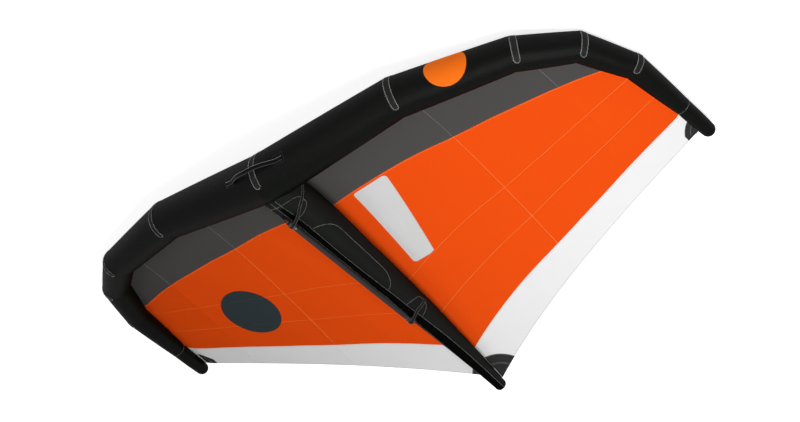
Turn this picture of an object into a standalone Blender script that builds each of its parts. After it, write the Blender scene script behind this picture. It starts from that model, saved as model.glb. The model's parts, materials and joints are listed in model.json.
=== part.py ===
"""Inflatable hand-held wing for foil boarding, lying on its back with the strut and the boom on top.

The wing is described in its own axes: +X to the rider's left, +Y aft along the strut, +Z towards the
canopy, with the origin where the leading edge's centreline crosses the middle plane. One empty turns
it over and lays it on the ground, where it rests on the shoulders of its leading edge.
Lengths are metres.
"""

import math

import bmesh
import bpy
import numpy as np
from mathutils import Matrix, Vector

# Overall size
HALF_SPAN = 1.973
TIP_SWEEP = 1.357
TIP_RISE = 0.454
STRUT_LENGTH = 2.072
STRUT_SETBACK = 0.036
CHORD = STRUT_LENGTH + STRUT_SETBACK
LE_RADIUS = 0.141
TIP_RADIUS = 0.042

# Clearances and thicknesses
GAP = 0.0003
MERGE = 0.00001
SLEEVE_WALL = 0.002
BLADDER_WALL = 0.0006
BLADDER_CLEARANCE = 0.0025
CLOTH = 0.0015
SEAT = 0.0012
PATCH = 0.0015
SEWN_DEPTH = 0.0006
PRESSED_FLAT = 0.003

# Leading edge stations, from the middle to the tip: shares of half span, tip sweep, tip rise, and of the
# way from the tip radius to the centre radius
LE_STATION_SHARES = (
    (0.0, 0.0, 0.0, 1.0),
    (0.4435, 0.031, 0.368, 0.762),
    (0.770, 0.162, 0.617, 0.553),
    (0.908, 0.315, 0.801, 0.429),
    (0.977, 0.541, 0.907, 0.305),
    (0.995, 0.845, 0.971, 0.058),
    (1.0, 1.0, 1.0, 0.0),
)
LE_SEGMENT_NAMES = ("centre", "mid", "outer", "shoulder", "tip")
RING_SIDES = 24
BLADDER_SIDES = 16
CANOPY_SEAM_STEPS = 1.5
CAP_STEPS = 4

# Canopy: seam lines as shares of the chord at four stations, which are shares of half span
SEAM_STATION_SHARES = (0.0, 0.238, 0.476, 0.953)
FRONT_SEAM_SHARES = (0.238, 0.237, 0.260, 0.351)
MAIN_SEAM_SHARES = (0.571, 0.504, 0.463, 0.384)
REAR_SEAM_SHARES = (0.868, 0.765, 0.693, 0.565)
TRAILING_EDGE_SHARES = (1.0, 0.883, 0.791, 0.647)
TRAILING_RISE_SHARES = (0.155, 0.350, 0.563, 1.012)
LEAST_ROW_SHARE = 0.02
INNER_SEAM_SHARE = 0.4264
OUTER_SEAM_SHARE = 0.758
CAMBER_SHARE = 0.11
CAMBER_FORWARD_SHARE = 1.5
INNER_COLUMN_SHARES = (0.0, 0.18, 0.34, 0.5, 0.67, 0.84)
MIDDLE_COLUMN_SHARES = (0.25, 0.5, 0.75)
ROWS = {"front": 4, "main": 4, "aft": 4, "trailing": 2}

# Window: its corners as shares of half span and chord, from the inner front one round to the inner rear one
WINDOW_CORNER_SHARES = ((0.0745, 0.241), (0.1997, 0.241), (0.1328, 0.5337), (0.0527, 0.5337))
WINDOW_CORNER_RADIUS = 0.045

# Strut: shares of its length, of its front radius, and its axis height as a share of the front radius
STRUT_RADIUS = 0.121
STRUT_SHARES = (
    (0.0, 0.92, -0.04),
    (0.045, 0.975, 0.0),
    (0.09, 0.99, 0.12),
    (0.145, 0.99, 0.25),
    (0.24, 0.94, 0.29),
    (0.36, 0.84, 0.29),
    (0.50, 0.74, 0.28),
    (0.67, 0.64, 0.27),
    (0.82, 0.48, 0.20),
    (0.95, 0.335, 0.085),
    (1.0, 0.30, 0.05),
)
STRUT_CAP_JOINT_SHARE = 0.975
STRIP_HALF_ANGLE = math.radians(20)
STRIP_COLUMN_SHARES = (-1, -1 / 3, 1 / 3, 1)
STRIP_START = 0.16
WEB_START = 0.27
WEB_END_SHARE = 0.975
STRUT_BLADDER_START = 0.19

# Boom
BOOM_FRONT = 0.232
BOOM_REAR = 1.290
BOOM_FRONT_DROP = 0.1558
BOOM_REAR_DROP = 0.0966
BOOM_TUBE_RADIUS = 0.0115
BOOM_TUBE_WALL = 0.002
GRIP_RADIUS = 0.014
GRIP_END_GAP = 0.012
BOOM_CAP_LENGTH = 0.045
BOOM_CAP_RADIUS = 0.0165
BOOM_CAP_END_WALL = 0.006
BOOM_CAP_CHAMFER = 0.003
BOOM_GROOVE_RADIUS = 0.0145
BOOM_GROOVE_START = 0.010
BOOM_GROOVE_END = 0.036
BOOM_SIDES = 20

# Slings that carry the boom
SLING_WIDTH = 0.022
SLING_THICKNESS = 0.002
SLING_GROOVE_CLEARANCE = 0.0012
SLING_LEAVE_ANGLE = math.radians(33)
FRONT_SLING_TOP = 0.181
FRONT_SLING_LEAVE = 0.200
FRONT_SLING_TOP_ANGLE = math.radians(101)
REAR_SLING_TOP = 1.269
REAR_SLING_LEAVE = 1.266
REAR_SLING_TOP_ANGLE = math.radians(91)
SLING_STEPS = 8
SLING_WRAP_STEPS = 8
SLING_REST_SHARE = 1.1
SLING_UPRIGHT_SHARE = 0.22

# Sewn patches on the strut: start, length, half angle round the tube, and the part of the length in
# their round ends
FRONT_PATCH = (0.132, 0.146, math.radians(62), 0.75)
MIDDLE_PATCH = (0.381, 0.659, math.radians(66), 0.42)
REAR_PATCH = (1.182, 0.146, math.radians(84), 0.75)
PATCH_COLUMN_SHARES = (-1, -2 / 3, -1 / 3, 0, 1 / 3, 2 / 3, 1)

# Kink patches on the leading edge: first and last ring vertex from the underside round the front
KINK_PATCH_FIRST = 0
KINK_PATCH_LAST = 9
KINK_PATCH_WIDTH = 0.034
KINK_PATCH_END_SHARE = 0.7

# Corner patches at the trailing edge
TAIL_PATCH_REACH = 0.183
TAIL_PATCH_SPAN_SHARE = 0.86
TAIL_PATCH_LIFT = 0.0008
TIP_PATCH_SHARES = (0.955, 0.983)
TIP_PATCH_START_SHARE = 0.5
TIP_PATCH_LIFT = 0.0025
PATCH_MARGIN = 0.003

# Soft handle across the front
HANDLE_HALF_LENGTH = 0.200
HANDLE_STANDOFF = 0.034
HANDLE_WIDTH = 0.026
HANDLE_THICKNESS = 0.007
HANDLE_END_ANGLE = math.radians(57)
HANDLE_MID_ANGLE = math.radians(70)
HANDLE_SEWN_SHARE = 0.8
HANDLE_POINTS = 17
HANDLE_SECTION_SHARES = (
    (-1.0, -0.3),
    (-0.8, -1.0),
    (0.0, -1.0),
    (0.8, -1.0),
    (1.0, -0.3),
    (1.0, 0.3),
    (0.8, 1.0),
    (0.0, 1.0),
    (-0.8, 1.0),
    (-1.0, 0.3),
)
HANDLE_BASE_INNER = 0.142
HANDLE_BASE_OUTER = 0.212
HANDLE_BASE_HALF_ANGLE = math.radians(10.5)

# Inflation valve on the leading edge's canopy side
VALVE_STATION = 0.330
VALVE_ANGLE = math.radians(165)
VALVE_SIDES = 24
VALVE_FLANGE_RADIUS = 0.036
VALVE_FLANGE_THICKNESS = 0.0025
VALVE_NECK_RADIUS = 0.021
VALVE_NECK_TOP = 0.006
VALVE_NECK_DEPTH = 0.010
VALVE_BORE_RADIUS = 0.0165
INSERT_RADIUS = 0.016
INSERT_DEPTH = 0.0085
INSERT_BORE_RADIUS = 0.011
INSERT_RIM_RADIUS = 0.0205
INSERT_RIM_LOW = 0.0065
INSERT_RIM_TOP = 0.009
FLAP_RADIUS = 0.0125
FLAP_THICKNESS = 0.0012
CAP_RADIUS = 0.023
CAP_THICKNESS = 0.003
CAP_EDGE_CHAMFER = 0.0008
CAP_PLUG_RADIUS = 0.0102
CAP_PLUG_DEPTH = 0.0022
CAP_HINGE_REACH = 0.0285
CAP_HINGE_HEIGHT = 0.0085
TONGUE_WIDTH = 0.010
TONGUE_THICKNESS = 0.002
TONGUE_ROOT = 0.020
BARREL_RADIUS = 0.0022
CHEEK_THICKNESS = 0.0025
CHEEK_CLEARANCE = 0.0004
CHEEK_HALF_LENGTH = 0.0028
CHEEK_FOOT = 0.0012

# Transfer hose from the leading edge to the strut
HOSE_RADIUS = 0.007
HOSE_SIDES_RESOLUTION = 2
HOSE_INSET = 0.004
HOSE_STRAIGHT = 0.018
HOSE_BEND = 0.075
HOSE_STEPS = 12
PORT_RADIUS = 0.011
PORT_BORE_RADIUS = 0.0077
PORT_LENGTH = 0.014
PORT_DEPTH = 0.009
PORT_FLANGE_RADIUS = 0.019
PORT_FLANGE_THICKNESS = 0.002
HOSE_LE_STATION = 0.215
HOSE_LE_ANGLE = math.radians(255)
HOSE_STRUT_STATION = 0.280
HOSE_STRUT_ANGLE = math.radians(-105)
CLIP_LENGTH = 0.016
CLIP_WIDTH = 0.024
CLIP_HEIGHT = 0.020
CLIP_BORE_RADIUS = 0.0078
LEVER_LENGTH = 0.030
LEVER_WIDTH = 0.012
LEVER_THICKNESS = 0.003
LEVER_LIFT = 0.0004
BOX_OVERRUN = 0.01


def clear_scene():
    for item in list(bpy.data.objects):
        bpy.data.objects.remove(item)


def collection(name):
    made = bpy.data.collections.new(name)
    bpy.context.scene.collection.children.link(made)
    return made


def material(name, colour, roughness, metallic=0.0):
    made = bpy.data.materials.new(name)
    made.use_nodes = True
    shader = made.node_tree.nodes["Principled BSDF"]
    shader.inputs["Base Color"].default_value = (*colour, 1.0)
    shader.inputs["Roughness"].default_value = roughness
    shader.inputs["Metallic"].default_value = metallic
    made.diffuse_color = (*colour, 1.0)
    return made


clear_scene()
PARTS = collection("wingfoil_wing")
CUTTERS = collection("cutters")

BLACK_CLOTH = material("black_sailcloth", (0.012, 0.012, 0.013), 0.62)
DEEP_BLACK = material("black_strip", (0.006, 0.006, 0.007), 0.55)
GREY_CLOTH = material("grey_ripstop", (0.066, 0.062, 0.060), 0.55)
ORANGE_CLOTH = material("orange_ripstop", (0.90, 0.085, 0.008), 0.50)
WHITE_CLOTH = material("white_ripstop", (0.86, 0.86, 0.85), 0.50)
WINDOW_PLASTIC = material("window_film", (0.60, 0.60, 0.60), 0.15)
PATCH_CLOTH = material("dark_patch_cloth", (0.050, 0.048, 0.047), 0.65)
WEBBING = material("black_webbing", (0.008, 0.008, 0.009), 0.75)
BLADDER_FILM = material("bladder_film", (0.55, 0.58, 0.60), 0.30)
CARBON = material("boom_carbon", (0.030, 0.030, 0.032), 0.30)
GRIP_FOAM = material("boom_grip_foam", (0.040, 0.040, 0.042), 0.85)
MOULDED_BLACK = material("moulded_black", (0.015, 0.015, 0.016), 0.40)
MOULDED_GREY = material("moulded_grey", (0.18, 0.18, 0.19), 0.40)
HOSE_PLASTIC = material("hose_plastic", (0.30, 0.32, 0.34), 0.30)

WING = bpy.data.objects.new("wing_laid_on_its_back", None)
PARTS.objects.link(WING)


# Helpers


def add_object(name, mesh, finish, matrix=None, target=None):
    made = bpy.data.objects.new(name, mesh)
    (target or PARTS).objects.link(made)
    made.parent = WING
    if matrix:
        made.matrix_local = matrix
    if finish:
        mesh.materials.append(finish)
    return made


def mesh_from(bm, name):
    bmesh.ops.recalc_face_normals(bm, faces=bm.faces)
    mesh = bpy.data.meshes.new(name)
    bm.to_mesh(mesh)
    bm.free()
    mesh.shade_smooth()
    mesh.set_sharp_from_angle(angle=math.radians(40))
    return mesh


def share_list(steps):
    return [i / steps for i in range(steps + 1)]


def mirrored(points, side):
    return [Vector((side * p.x, p.y, p.z)) for p in points]


def bridge(bm, ring_a, ring_b):
    """Faces between two closed rings. A ring of one point closes the shape."""
    count = max(len(ring_a), len(ring_b))
    for i in range(count):
        j = (i + 1) % count
        if len(ring_b) == 1:
            bm.faces.new((ring_a[i], ring_a[j], ring_b[0]))
        elif len(ring_a) == 1:
            bm.faces.new((ring_a[0], ring_b[j], ring_b[i]))
        else:
            bm.faces.new((ring_a[i], ring_a[j], ring_b[j], ring_b[i]))


def loft_wall(name, outer, inner, finish):
    """A tube wall between two lists of rings. A last ring of one point closes that end."""
    bm = bmesh.new()
    walls = [[[bm.verts.new(p) for p in ring] for ring in rings] for rings in (outer, inner)]
    for rings in walls:
        for ring_a, ring_b in zip(rings[:-1], rings[1:]):
            bridge(bm, ring_a, ring_b)
    bridge(bm, walls[0][0], walls[1][0])
    if len(outer[-1]) > 1:
        bridge(bm, walls[0][-1], walls[1][-1])
    return add_object(name, mesh_from(bm, name), finish)


def loft_skin(name, rings, wall, finish):
    """A closed skin through rings that begin and end in a point, thickened inwards."""
    bm = bmesh.new()
    made = [[bm.verts.new(p) for p in ring] for ring in rings]
    for ring_a, ring_b in zip(made[:-1], made[1:]):
        bridge(bm, ring_a, ring_b)
    item = add_object(name, mesh_from(bm, name), finish)
    thick = item.modifiers.new("wall", "SOLIDIFY")
    thick.thickness = wall
    thick.offset = -1
    return item


def solid_loft(name, rings, finish, matrix=None, target=None):
    """A solid through a list of rings, with flat ends."""
    bm = bmesh.new()
    made = [[bm.verts.new(p) for p in ring] for ring in rings]
    for ring_a, ring_b in zip(made[:-1], made[1:]):
        bridge(bm, ring_a, ring_b)
    bm.faces.new(made[0])
    bm.faces.new(reversed(made[-1]))
    return add_object(name, mesh_from(bm, name), finish, matrix, target)


def ring_body(name, rings, finish, matrix):
    """A body with a hole through it: the rings go once round its section."""
    bm = bmesh.new()
    made = [[bm.verts.new(p) for p in ring] for ring in rings]
    for ring_a, ring_b in zip(made, made[1:] + made[:1]):
        bridge(bm, ring_a, ring_b)
    return add_object(name, mesh_from(bm, name), finish, matrix)


def box(name, low, high, finish=None, matrix=None, target=None):
    low, high = Vector(low), Vector(high)
    place = Matrix.Translation((low + high) / 2) @ Matrix.Diagonal((*(high - low), 1))
    bm = bmesh.new()
    bmesh.ops.create_cube(bm, size=1, matrix=place)
    return add_object(name, mesh_from(bm, name), finish, matrix, target)


def rod(name, radius, low, high, finish=None, matrix=None, target=None):
    """A cylinder about the frame's Z axis between two heights."""
    place = Matrix.Translation((0, 0, (low + high) / 2))
    ends = {"radius1": radius, "radius2": radius, "depth": high - low}
    bm = bmesh.new()
    bmesh.ops.create_cone(bm, cap_ends=True, segments=VALVE_SIDES, matrix=place, **ends)
    return add_object(name, mesh_from(bm, name), finish, matrix, target)


def flat(name, outline, low, high, finish=None, matrix=None, target=None):
    """A flat outline in the frame's XY plane, filled and extruded between two heights."""
    curve = bpy.data.curves.new(name, "CURVE")
    curve.dimensions = "2D"
    curve.fill_mode = "BOTH"
    curve.extrude = (high - low) / 2
    line = curve.splines.new("POLY")
    line.points.add(len(outline) - 1)
    for place, p in zip(line.points, outline):
        place.co = (p[0], p[1], 0.0, 1.0)
    line.use_cyclic_u = True
    drawn = bpy.data.objects.new(name, curve)
    CUTTERS.objects.link(drawn)
    bpy.context.view_layer.update()
    mesh = bpy.data.meshes.new_from_object(drawn.evaluated_get(bpy.context.evaluated_depsgraph_get()))
    bpy.data.objects.remove(drawn)
    bm = bmesh.new()
    bm.from_mesh(mesh)
    bmesh.ops.remove_doubles(bm, verts=bm.verts, dist=MERGE)
    bmesh.ops.translate(bm, verts=bm.verts, vec=(0, 0, (low + high) / 2))
    return add_object(name, mesh_from(bm, name), finish, matrix, target)


def turned(name, profile, sides, finish, matrix, closed=True):
    """A body turned about its own Z axis. The profile lists (radius, height) round its section."""
    mesh = bpy.data.meshes.new(name)
    edges = [(i, i + 1) for i in range(len(profile) - 1)]
    if closed:
        edges.append((len(profile) - 1, 0))
    mesh.from_pydata([(radius, 0.0, height) for radius, height in profile], edges, [])
    item = add_object(name, mesh, finish, matrix)
    screw = item.modifiers.new("turned", "SCREW")
    screw.axis = "Z"
    screw.angle = 2 * math.pi
    screw.steps = sides
    screw.render_steps = sides
    screw.use_merge_vertices = True
    screw.merge_threshold = MERGE
    screw.use_normal_flip = True
    screw.use_smooth_shade = False
    return item


def rod_cutter(name, matrix, radius, depth):
    """A cylinder along the frame's Z axis, as deep below it as above."""
    return rod(name, radius, -depth, depth, None, matrix, CUTTERS)


def evaluated_copy(item, name, finish):
    """The object's evaluated shape as a mesh of its own."""
    bpy.context.view_layer.update()
    graph = bpy.context.evaluated_depsgraph_get()
    mesh = bpy.data.meshes.new_from_object(item.evaluated_get(graph))
    mesh.materials.clear()
    return add_object(name, mesh, finish)


def cut(item, cutter, operation="DIFFERENCE"):
    change = item.modifiers.new("cut", "BOOLEAN")
    change.operation = operation
    change.solver = "EXACT"
    change.object = cutter
    cutter.hide_render = True
    cutter.display_type = "WIRE"


def frame_matrix(point, out, along):
    """A frame on a surface: Z leaves the surface and X runs along the tube."""
    across = out.cross(along).normalized()
    along = across.cross(out).normalized()
    rows = Matrix((along, across, out)).transposed().to_4x4()
    return Matrix.Translation(point) @ rows


# Leading edge


def le_stations():
    made = []
    for span, sweep, rise, radius in LE_STATION_SHARES:
        centre = Vector((HALF_SPAN * span, TIP_SWEEP * sweep, TIP_RISE * rise))
        made.append((centre, TIP_RADIUS + (LE_RADIUS - TIP_RADIUS) * radius))
    return made


STATIONS = le_stations()
STEP = 2 * math.pi / RING_SIDES


def station_frame(index):
    """The plane in which two segments meet: its normal, the ways up and aft in it, and the way ahead."""
    last = len(STATIONS) - 1
    ahead = (STATIONS[min(index + 1, last)][0] - STATIONS[min(index, last - 1)][0]).normalized()
    behind = (STATIONS[max(index, 1)][0] - STATIONS[max(index - 1, 0)][0]).normalized()
    normal = (ahead + behind).normalized() if index else Vector((1, 0, 0))
    up = (Vector((0, 0, 1)) - normal * normal.z).normalized()
    aft = up.cross(normal)
    return normal, up, aft, ahead


def le_point(index, angle, offset=0.0):
    """A point on the tube at a station, turned from the underside round the front to the top."""
    centre, radius = STATIONS[index]
    _, up, aft, ahead = station_frame(index)
    direction = -up * math.cos(angle) - aft * math.sin(angle)
    stretch = 1.0 / math.sqrt(1.0 - direction.dot(ahead) ** 2)
    return centre + direction * (radius + offset) * stretch


def le_ring(index, offset=0.0, sides=RING_SIDES, shift=0.0):
    normal = station_frame(index)[0]
    angles = [2 * math.pi * (i + 0.5) / sides for i in range(sides)]
    return [le_point(index, angle, offset) + normal * shift for angle in angles]


def floor_plane():
    """The plane that the wing lies on: it touches the leading edge at both ends of the shoulder."""
    (a, ra), (b, rb) = STATIONS[3], STATIONS[4]
    run = Vector((0, b.y - a.y, b.z - a.z))
    pitch = math.asin((ra - rb) / run.length) - math.atan2(run.z, run.y)
    normal = Vector((0, math.sin(pitch), math.cos(pitch)))
    low = min(max(p.dot(normal) for p in le_ring(i)) for i in (3, 4))
    return pitch, normal, low - PRESSED_FLAT


PITCH, FLOOR_NORMAL, FLOOR_LEVEL = floor_plane()


def pressed(points, wall=0.0):
    """Points that would be below the floor are pressed back onto it, or onto the wall above it."""
    made = []
    for p in points:
        excess = p.dot(FLOOR_NORMAL) - (FLOOR_LEVEL - wall)
        made.append(p - FLOOR_NORMAL * excess if excess > 0 else p)
    return made


def le_sleeves():
    made = {}
    for side, word in ((1, "left"), (-1, "right")):
        for index, name in enumerate(LE_SEGMENT_NAMES):
            walls = []
            for wall in (0.0, SLEEVE_WALL):
                rings = [le_ring(index, -wall, shift=GAP / 2), le_ring(index + 1, -wall, shift=-GAP / 2)]
                walls.append([mirrored(pressed(r, wall), side) for r in rings])
            made[name, word] = loft_wall(f"le_sleeve_{name}_{word}", walls[0], walls[1], BLACK_CLOTH)
        walls = [[mirrored(r, side) for r in tip_rings(-wall)] for wall in (0.0, SLEEVE_WALL)]
        loft_wall(f"le_tip_cap_{word}", walls[0], walls[1], BLACK_CLOTH)
    return made


def dome(last, centre, along, radius, steps):
    """Rings that close a tube with a rounded end, then its pole."""
    rings = []
    for step in range(1, steps):
        angle = math.pi / 2 * step / steps
        rings.append([centre + (p - centre) * math.cos(angle) + along * radius * math.sin(angle) for p in last])
    rings.append([centre + along * radius])
    return rings


def tip_rings(offset):
    """Rings from the tip seam to the rounded end of the tube."""
    centre, radius = STATIONS[6]
    along = station_frame(6)[3]
    last = le_ring(6, offset)
    return [le_ring(5, offset, shift=GAP / 2), last] + dome(last, centre, along, radius + offset, CAP_STEPS)


def le_bladder():
    """One bladder through the whole leading edge, closed at both tips."""
    offset = -SLEEVE_WALL - BLADDER_CLEARANCE - PRESSED_FLAT
    half = [le_ring(i, offset, BLADDER_SIDES) for i in range(len(STATIONS))]
    centre, radius = STATIONS[6]
    half += dome(half[-1], centre, station_frame(6)[3], radius + offset, CAP_STEPS // 2)
    other = [mirrored(r, -1) for r in half[1:]]
    return loft_skin("le_bladder", list(reversed(other)) + half, BLADDER_WALL, BLADDER_FILM)


def le_frame_at(station, angle, side, flat=False):
    """A frame on the centre segment; flat places it on the tube's facet instead of its round."""
    share = station / STATIONS[1][0].x
    a = le_point(0, angle)
    b = le_point(1, angle)
    axis_point = STATIONS[0][0].lerp(STATIONS[1][0], share)
    along = (b - a).normalized()
    out = a.lerp(b, share) - axis_point
    reach = out.length * (math.cos(STEP / 2) if flat else 1.0)
    point = axis_point + out.normalized() * reach
    out = (out - along * out.dot(along)).normalized()
    point, out, along = mirrored((point, out, along), side)
    return point, out, along


# Patches that lie on the leading edge


def curved_patch(name, surface, across, around, low, high, finish, target=None):
    """A thin patch over a surface: surface(u, v, height) gives its points, and low has a height per column."""
    bm = bmesh.new()
    layers = []
    for heights in (low, [high] * len(across)):
        pairs = list(zip(across, heights))
        layers.append([[bm.verts.new(surface(u, v, height)) for u, height in pairs] for v in around])
    for layer in layers:
        for row_a, row_b in zip(layer[:-1], layer[1:]):
            for i in range(len(row_a) - 1):
                bm.faces.new((row_a[i], row_a[i + 1], row_b[i + 1], row_b[i]))
    under, over = layers
    rims = (
        (under[0], over[0]),
        (under[-1], over[-1]),
        ([r[0] for r in under], [r[0] for r in over]),
        ([r[-1] for r in under], [r[-1] for r in over]),
    )
    for edge_a, edge_b in rims:
        for i in range(len(edge_a) - 1):
            bm.faces.new((edge_a[i], edge_a[i + 1], edge_b[i + 1], edge_b[i]))
    return add_object(name, mesh_from(bm, name), finish, None, target)


def even(height, columns):
    return [height] * len(columns)


def kink_patch(index, side, sleeve):
    """A strip wrapped over a kink and sewn to the outer sleeve, from the underside over the front."""
    angles = [(i + 0.5) * STEP for i in range(KINK_PATCH_FIRST, KINK_PATCH_LAST + 1)]

    def surface(u, v, height):
        angle = angles[round(v * (len(angles) - 1))]
        half = KINK_PATCH_WIDTH / 2 * (KINK_PATCH_END_SHARE if v in (0.0, 1.0) else 1)
        other = index + 1 if u > 0 or not index else index - 1
        here = le_point(index, angle, height)
        way = (le_point(other, angle, height) - here).normalized()
        point = here + way * half * abs(u)
        if not index:
            return Vector((point.x if u > 0 else -point.x, point.y, point.z))
        return Vector((side * point.x, point.y, point.z))

    rows = share_list(len(angles) - 1)
    low = (GAP, GAP, -SEWN_DEPTH)
    cut(sleeve, curved_patch("kink_patch", surface, (-1, 0, 1), rows, low, GAP + PATCH, None, CUTTERS), "UNION")


def kink_patches(sleeves):
    kink_patch(0, 1, sleeves["centre", "left"])
    for index in range(1, 5):
        for side, word in ((1, "left"), (-1, "right")):
            kink_patch(index, side, sleeves[LE_SEGMENT_NAMES[index], word])


# Canopy


def through(shares, unit, x):
    """A smooth line through its four stations."""
    stations = [s * HALF_SPAN for s in SEAM_STATION_SHARES]
    terms = np.polyfit(stations, [s * unit for s in shares], len(stations) - 1)
    return float(np.polyval(terms, x))


# The canopy is sewn to the tube along a ring vertex line, a little aft of the tube's top
ATTACH = [le_point(i, math.pi + CANOPY_SEAM_STEPS * STEP, SEAT) for i in range(len(STATIONS))]
ATTACH_TIP_X = ATTACH[4].x
TRAILING_TIP_X = ATTACH[6].x


def front_at(x):
    """The sewn edge above a place across the span, up to the shoulder."""
    for a, b in zip(ATTACH[:4], ATTACH[1:5]):
        if x <= b.x:
            break
    return a.lerp(b, (x - a.x) / (b.x - a.x))


def canopy_point(x, share):
    """A point of the canopy: x across the span, share from the sewn edge to the trailing edge."""
    if x >= ATTACH_TIP_X:
        first = (ATTACH[5] - ATTACH[4]).length
        whole = first + (ATTACH[6] - ATTACH[5]).length
        run = share * whole
        if run <= first:
            return ATTACH[4].lerp(ATTACH[5], run / first)
        return ATTACH[5].lerp(ATTACH[6], (run - first) / (whole - first))
    front = front_at(x)
    rear_x = x * TRAILING_TIP_X / ATTACH_TIP_X
    rear_y = through(TRAILING_EDGE_SHARES, CHORD, rear_x)
    rear = Vector((rear_x, rear_y, through(TRAILING_RISE_SHARES, TIP_RISE, rear_x)))
    chord = rear.y - front.y
    fade = 1 - (x / HALF_SPAN) ** 3
    bulge = share * (1 - share) * (1 + CAMBER_FORWARD_SHARE * (1 - share) ** 2)
    point = front.lerp(rear, share)
    point.z += CAMBER_SHARE * chord * fade * bulge
    return point


SEAMS = (FRONT_SEAM_SHARES, MAIN_SEAM_SHARES, REAR_SEAM_SHARES)


def seam_shares(x):
    """The shares along the chord at which the seams cross the column at x, always in order."""
    front = canopy_point(x, 0.0).y
    rear = canopy_point(x, 1.0).y
    made = [0.0]
    for i, seam in enumerate(SEAMS):
        share = (through(seam, CHORD, x) - front) / (rear - front)
        most = 1 - LEAST_ROW_SHARE * (len(SEAMS) - i)
        made.append(min(max(share, made[-1] + LEAST_ROW_SHARE), most))
    return made + [1.0]


def row_shares(row, x):
    place = list(ROWS).index(row)
    made = seam_shares(x)
    return made[place], made[place + 1]


def columns():
    """Places across the span for the canopy's grid, with every kink and seam among them."""
    inner = INNER_SEAM_SHARE * HALF_SPAN
    outer = OUTER_SEAM_SHARE * HALF_SPAN
    made = [inner * s for s in INNER_COLUMN_SHARES] + [inner]
    made += [ATTACH[1].x + (outer - ATTACH[1].x) * s for s in MIDDLE_COLUMN_SHARES]
    made += [ATTACH[1].x, outer, ATTACH[2].x, (ATTACH[2].x + ATTACH[3].x) / 2, ATTACH[3].x]
    made += [(ATTACH[3].x + ATTACH[4].x) / 2, ATTACH[4].x]
    return sorted(made)


COLUMNS = columns()


def trailing_surface(x, share):
    """A point of the trailing panel as built: straight between the points of its grid."""
    for a, b in zip(COLUMNS[:-1], COLUMNS[1:]):
        if x <= b:
            break
    ends = []
    for column in (a, b):
        low, high = row_shares("trailing", column)
        step = min(int(share * ROWS["trailing"]), ROWS["trailing"] - 1)
        places = [low + (high - low) * (step + i) / ROWS["trailing"] for i in (0, 1)]
        start, end = (canopy_point(column, s) for s in places)
        ends.append(start.lerp(end, share * ROWS["trailing"] - step))
    return ends[0].lerp(ends[1], (x - a) / (b - a))


def canopy_panel(name, row, start_x, end_x, side, finish):
    """A panel between two seams, thickened evenly to both sides."""
    across = [x for x in COLUMNS if start_x - GAP <= x <= end_x + GAP]
    grid = []
    for x in across:
        low, high = row_shares(row, x)
        inset = (GAP / 2) / (canopy_point(x, 1.0) - canopy_point(x, 0.0)).length
        low += inset if low > 0 else 0
        high -= inset if high < 1 else 0
        place = x
        if x == across[0]:
            place = x + GAP / 2 if x > 0 else GAP
        elif x == across[-1] and x < ATTACH_TIP_X:
            place = x - GAP / 2
        grid.append([canopy_point(place, low + (high - low) * s) for s in share_list(ROWS[row])])
    bm = bmesh.new()
    made = [[bm.verts.new((side * p.x, p.y, p.z)) for p in line] for line in grid]
    for line_a, line_b in zip(made[:-1], made[1:]):
        for i in range(len(line_a) - 1):
            bm.faces.new((line_a[i], line_a[i + 1], line_b[i + 1], line_b[i]))
    item = add_object(name, mesh_from(bm, name), finish)
    thick = item.modifiers.new("cloth", "SOLIDIFY")
    thick.thickness = CLOTH
    thick.offset = 0
    return item


def canopy():
    inner = INNER_SEAM_SHARE * HALF_SPAN
    outer = OUTER_SEAM_SHARE * HALF_SPAN
    tip = ATTACH_TIP_X
    for side, word in ((1, "left"), (-1, "right")):
        canopy_panel(f"canopy_front_inner_{word}", "front", 0.0, inner, side, GREY_CLOTH)
        canopy_panel(f"canopy_front_middle_{word}", "front", inner, outer, side, GREY_CLOTH)
        canopy_panel(f"canopy_front_tip_{word}", "front", outer, tip, side, GREY_CLOTH)
        main = canopy_panel(f"canopy_main_inner_{word}", "main", 0.0, inner, side, ORANGE_CLOTH)
        canopy_panel(f"canopy_main_outer_{word}", "main", inner, tip, side, ORANGE_CLOTH)
        canopy_panel(f"canopy_aft_inner_{word}", "aft", 0.0, inner, side, ORANGE_CLOTH)
        canopy_panel(f"canopy_aft_outer_{word}", "aft", inner, tip, side, ORANGE_CLOTH)
        canopy_panel(f"canopy_trailing_{word}", "trailing", 0.0, tip, side, WHITE_CLOTH)
        window(main, side, word)


def corner_patches():
    """Patches on the rider's side of the canopy, at the strut's tail and at both tips."""
    for side, word in ((1, "left"), (-1, "right")):

        def tail(u, v, height):
            x = TAIL_PATCH_REACH * TAIL_PATCH_SPAN_SHARE * u + PATCH_MARGIN * (1 - u)
            front = trailing_surface(x, 0.0).y
            rear = trailing_surface(x, 1.0).y
            corner = trailing_surface(PATCH_MARGIN, 1.0).y
            start = min(corner - math.sqrt(TAIL_PATCH_REACH ** 2 - x * x), rear - PATCH_MARGIN * 2)
            y = start + (rear - PATCH_MARGIN - start) * v
            point = trailing_surface(x, (y - front) / (rear - front))
            return Vector((side * point.x, point.y, point.z - height))

        def tip(u, v, height):
            first, last = TIP_PATCH_SHARES
            x = ATTACH_TIP_X * (first + (last - first) * u)
            point = trailing_surface(x, TIP_PATCH_START_SHARE + (1 - TIP_PATCH_START_SHARE) * v)
            return Vector((side * point.x, point.y - PATCH_MARGIN * v, point.z - height))

        places = (("tail", tail, share_list(5), TAIL_PATCH_LIFT), ("tip", tip, share_list(2), TIP_PATCH_LIFT))
        for name, surface, across, lift in places:
            low = CLOTH / 2 + lift
            name = f"canopy_{name}_patch_{word}"
            curved_patch(name, surface, across, share_list(4), even(low, across), low + PATCH, PATCH_CLOTH)


# Window


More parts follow.
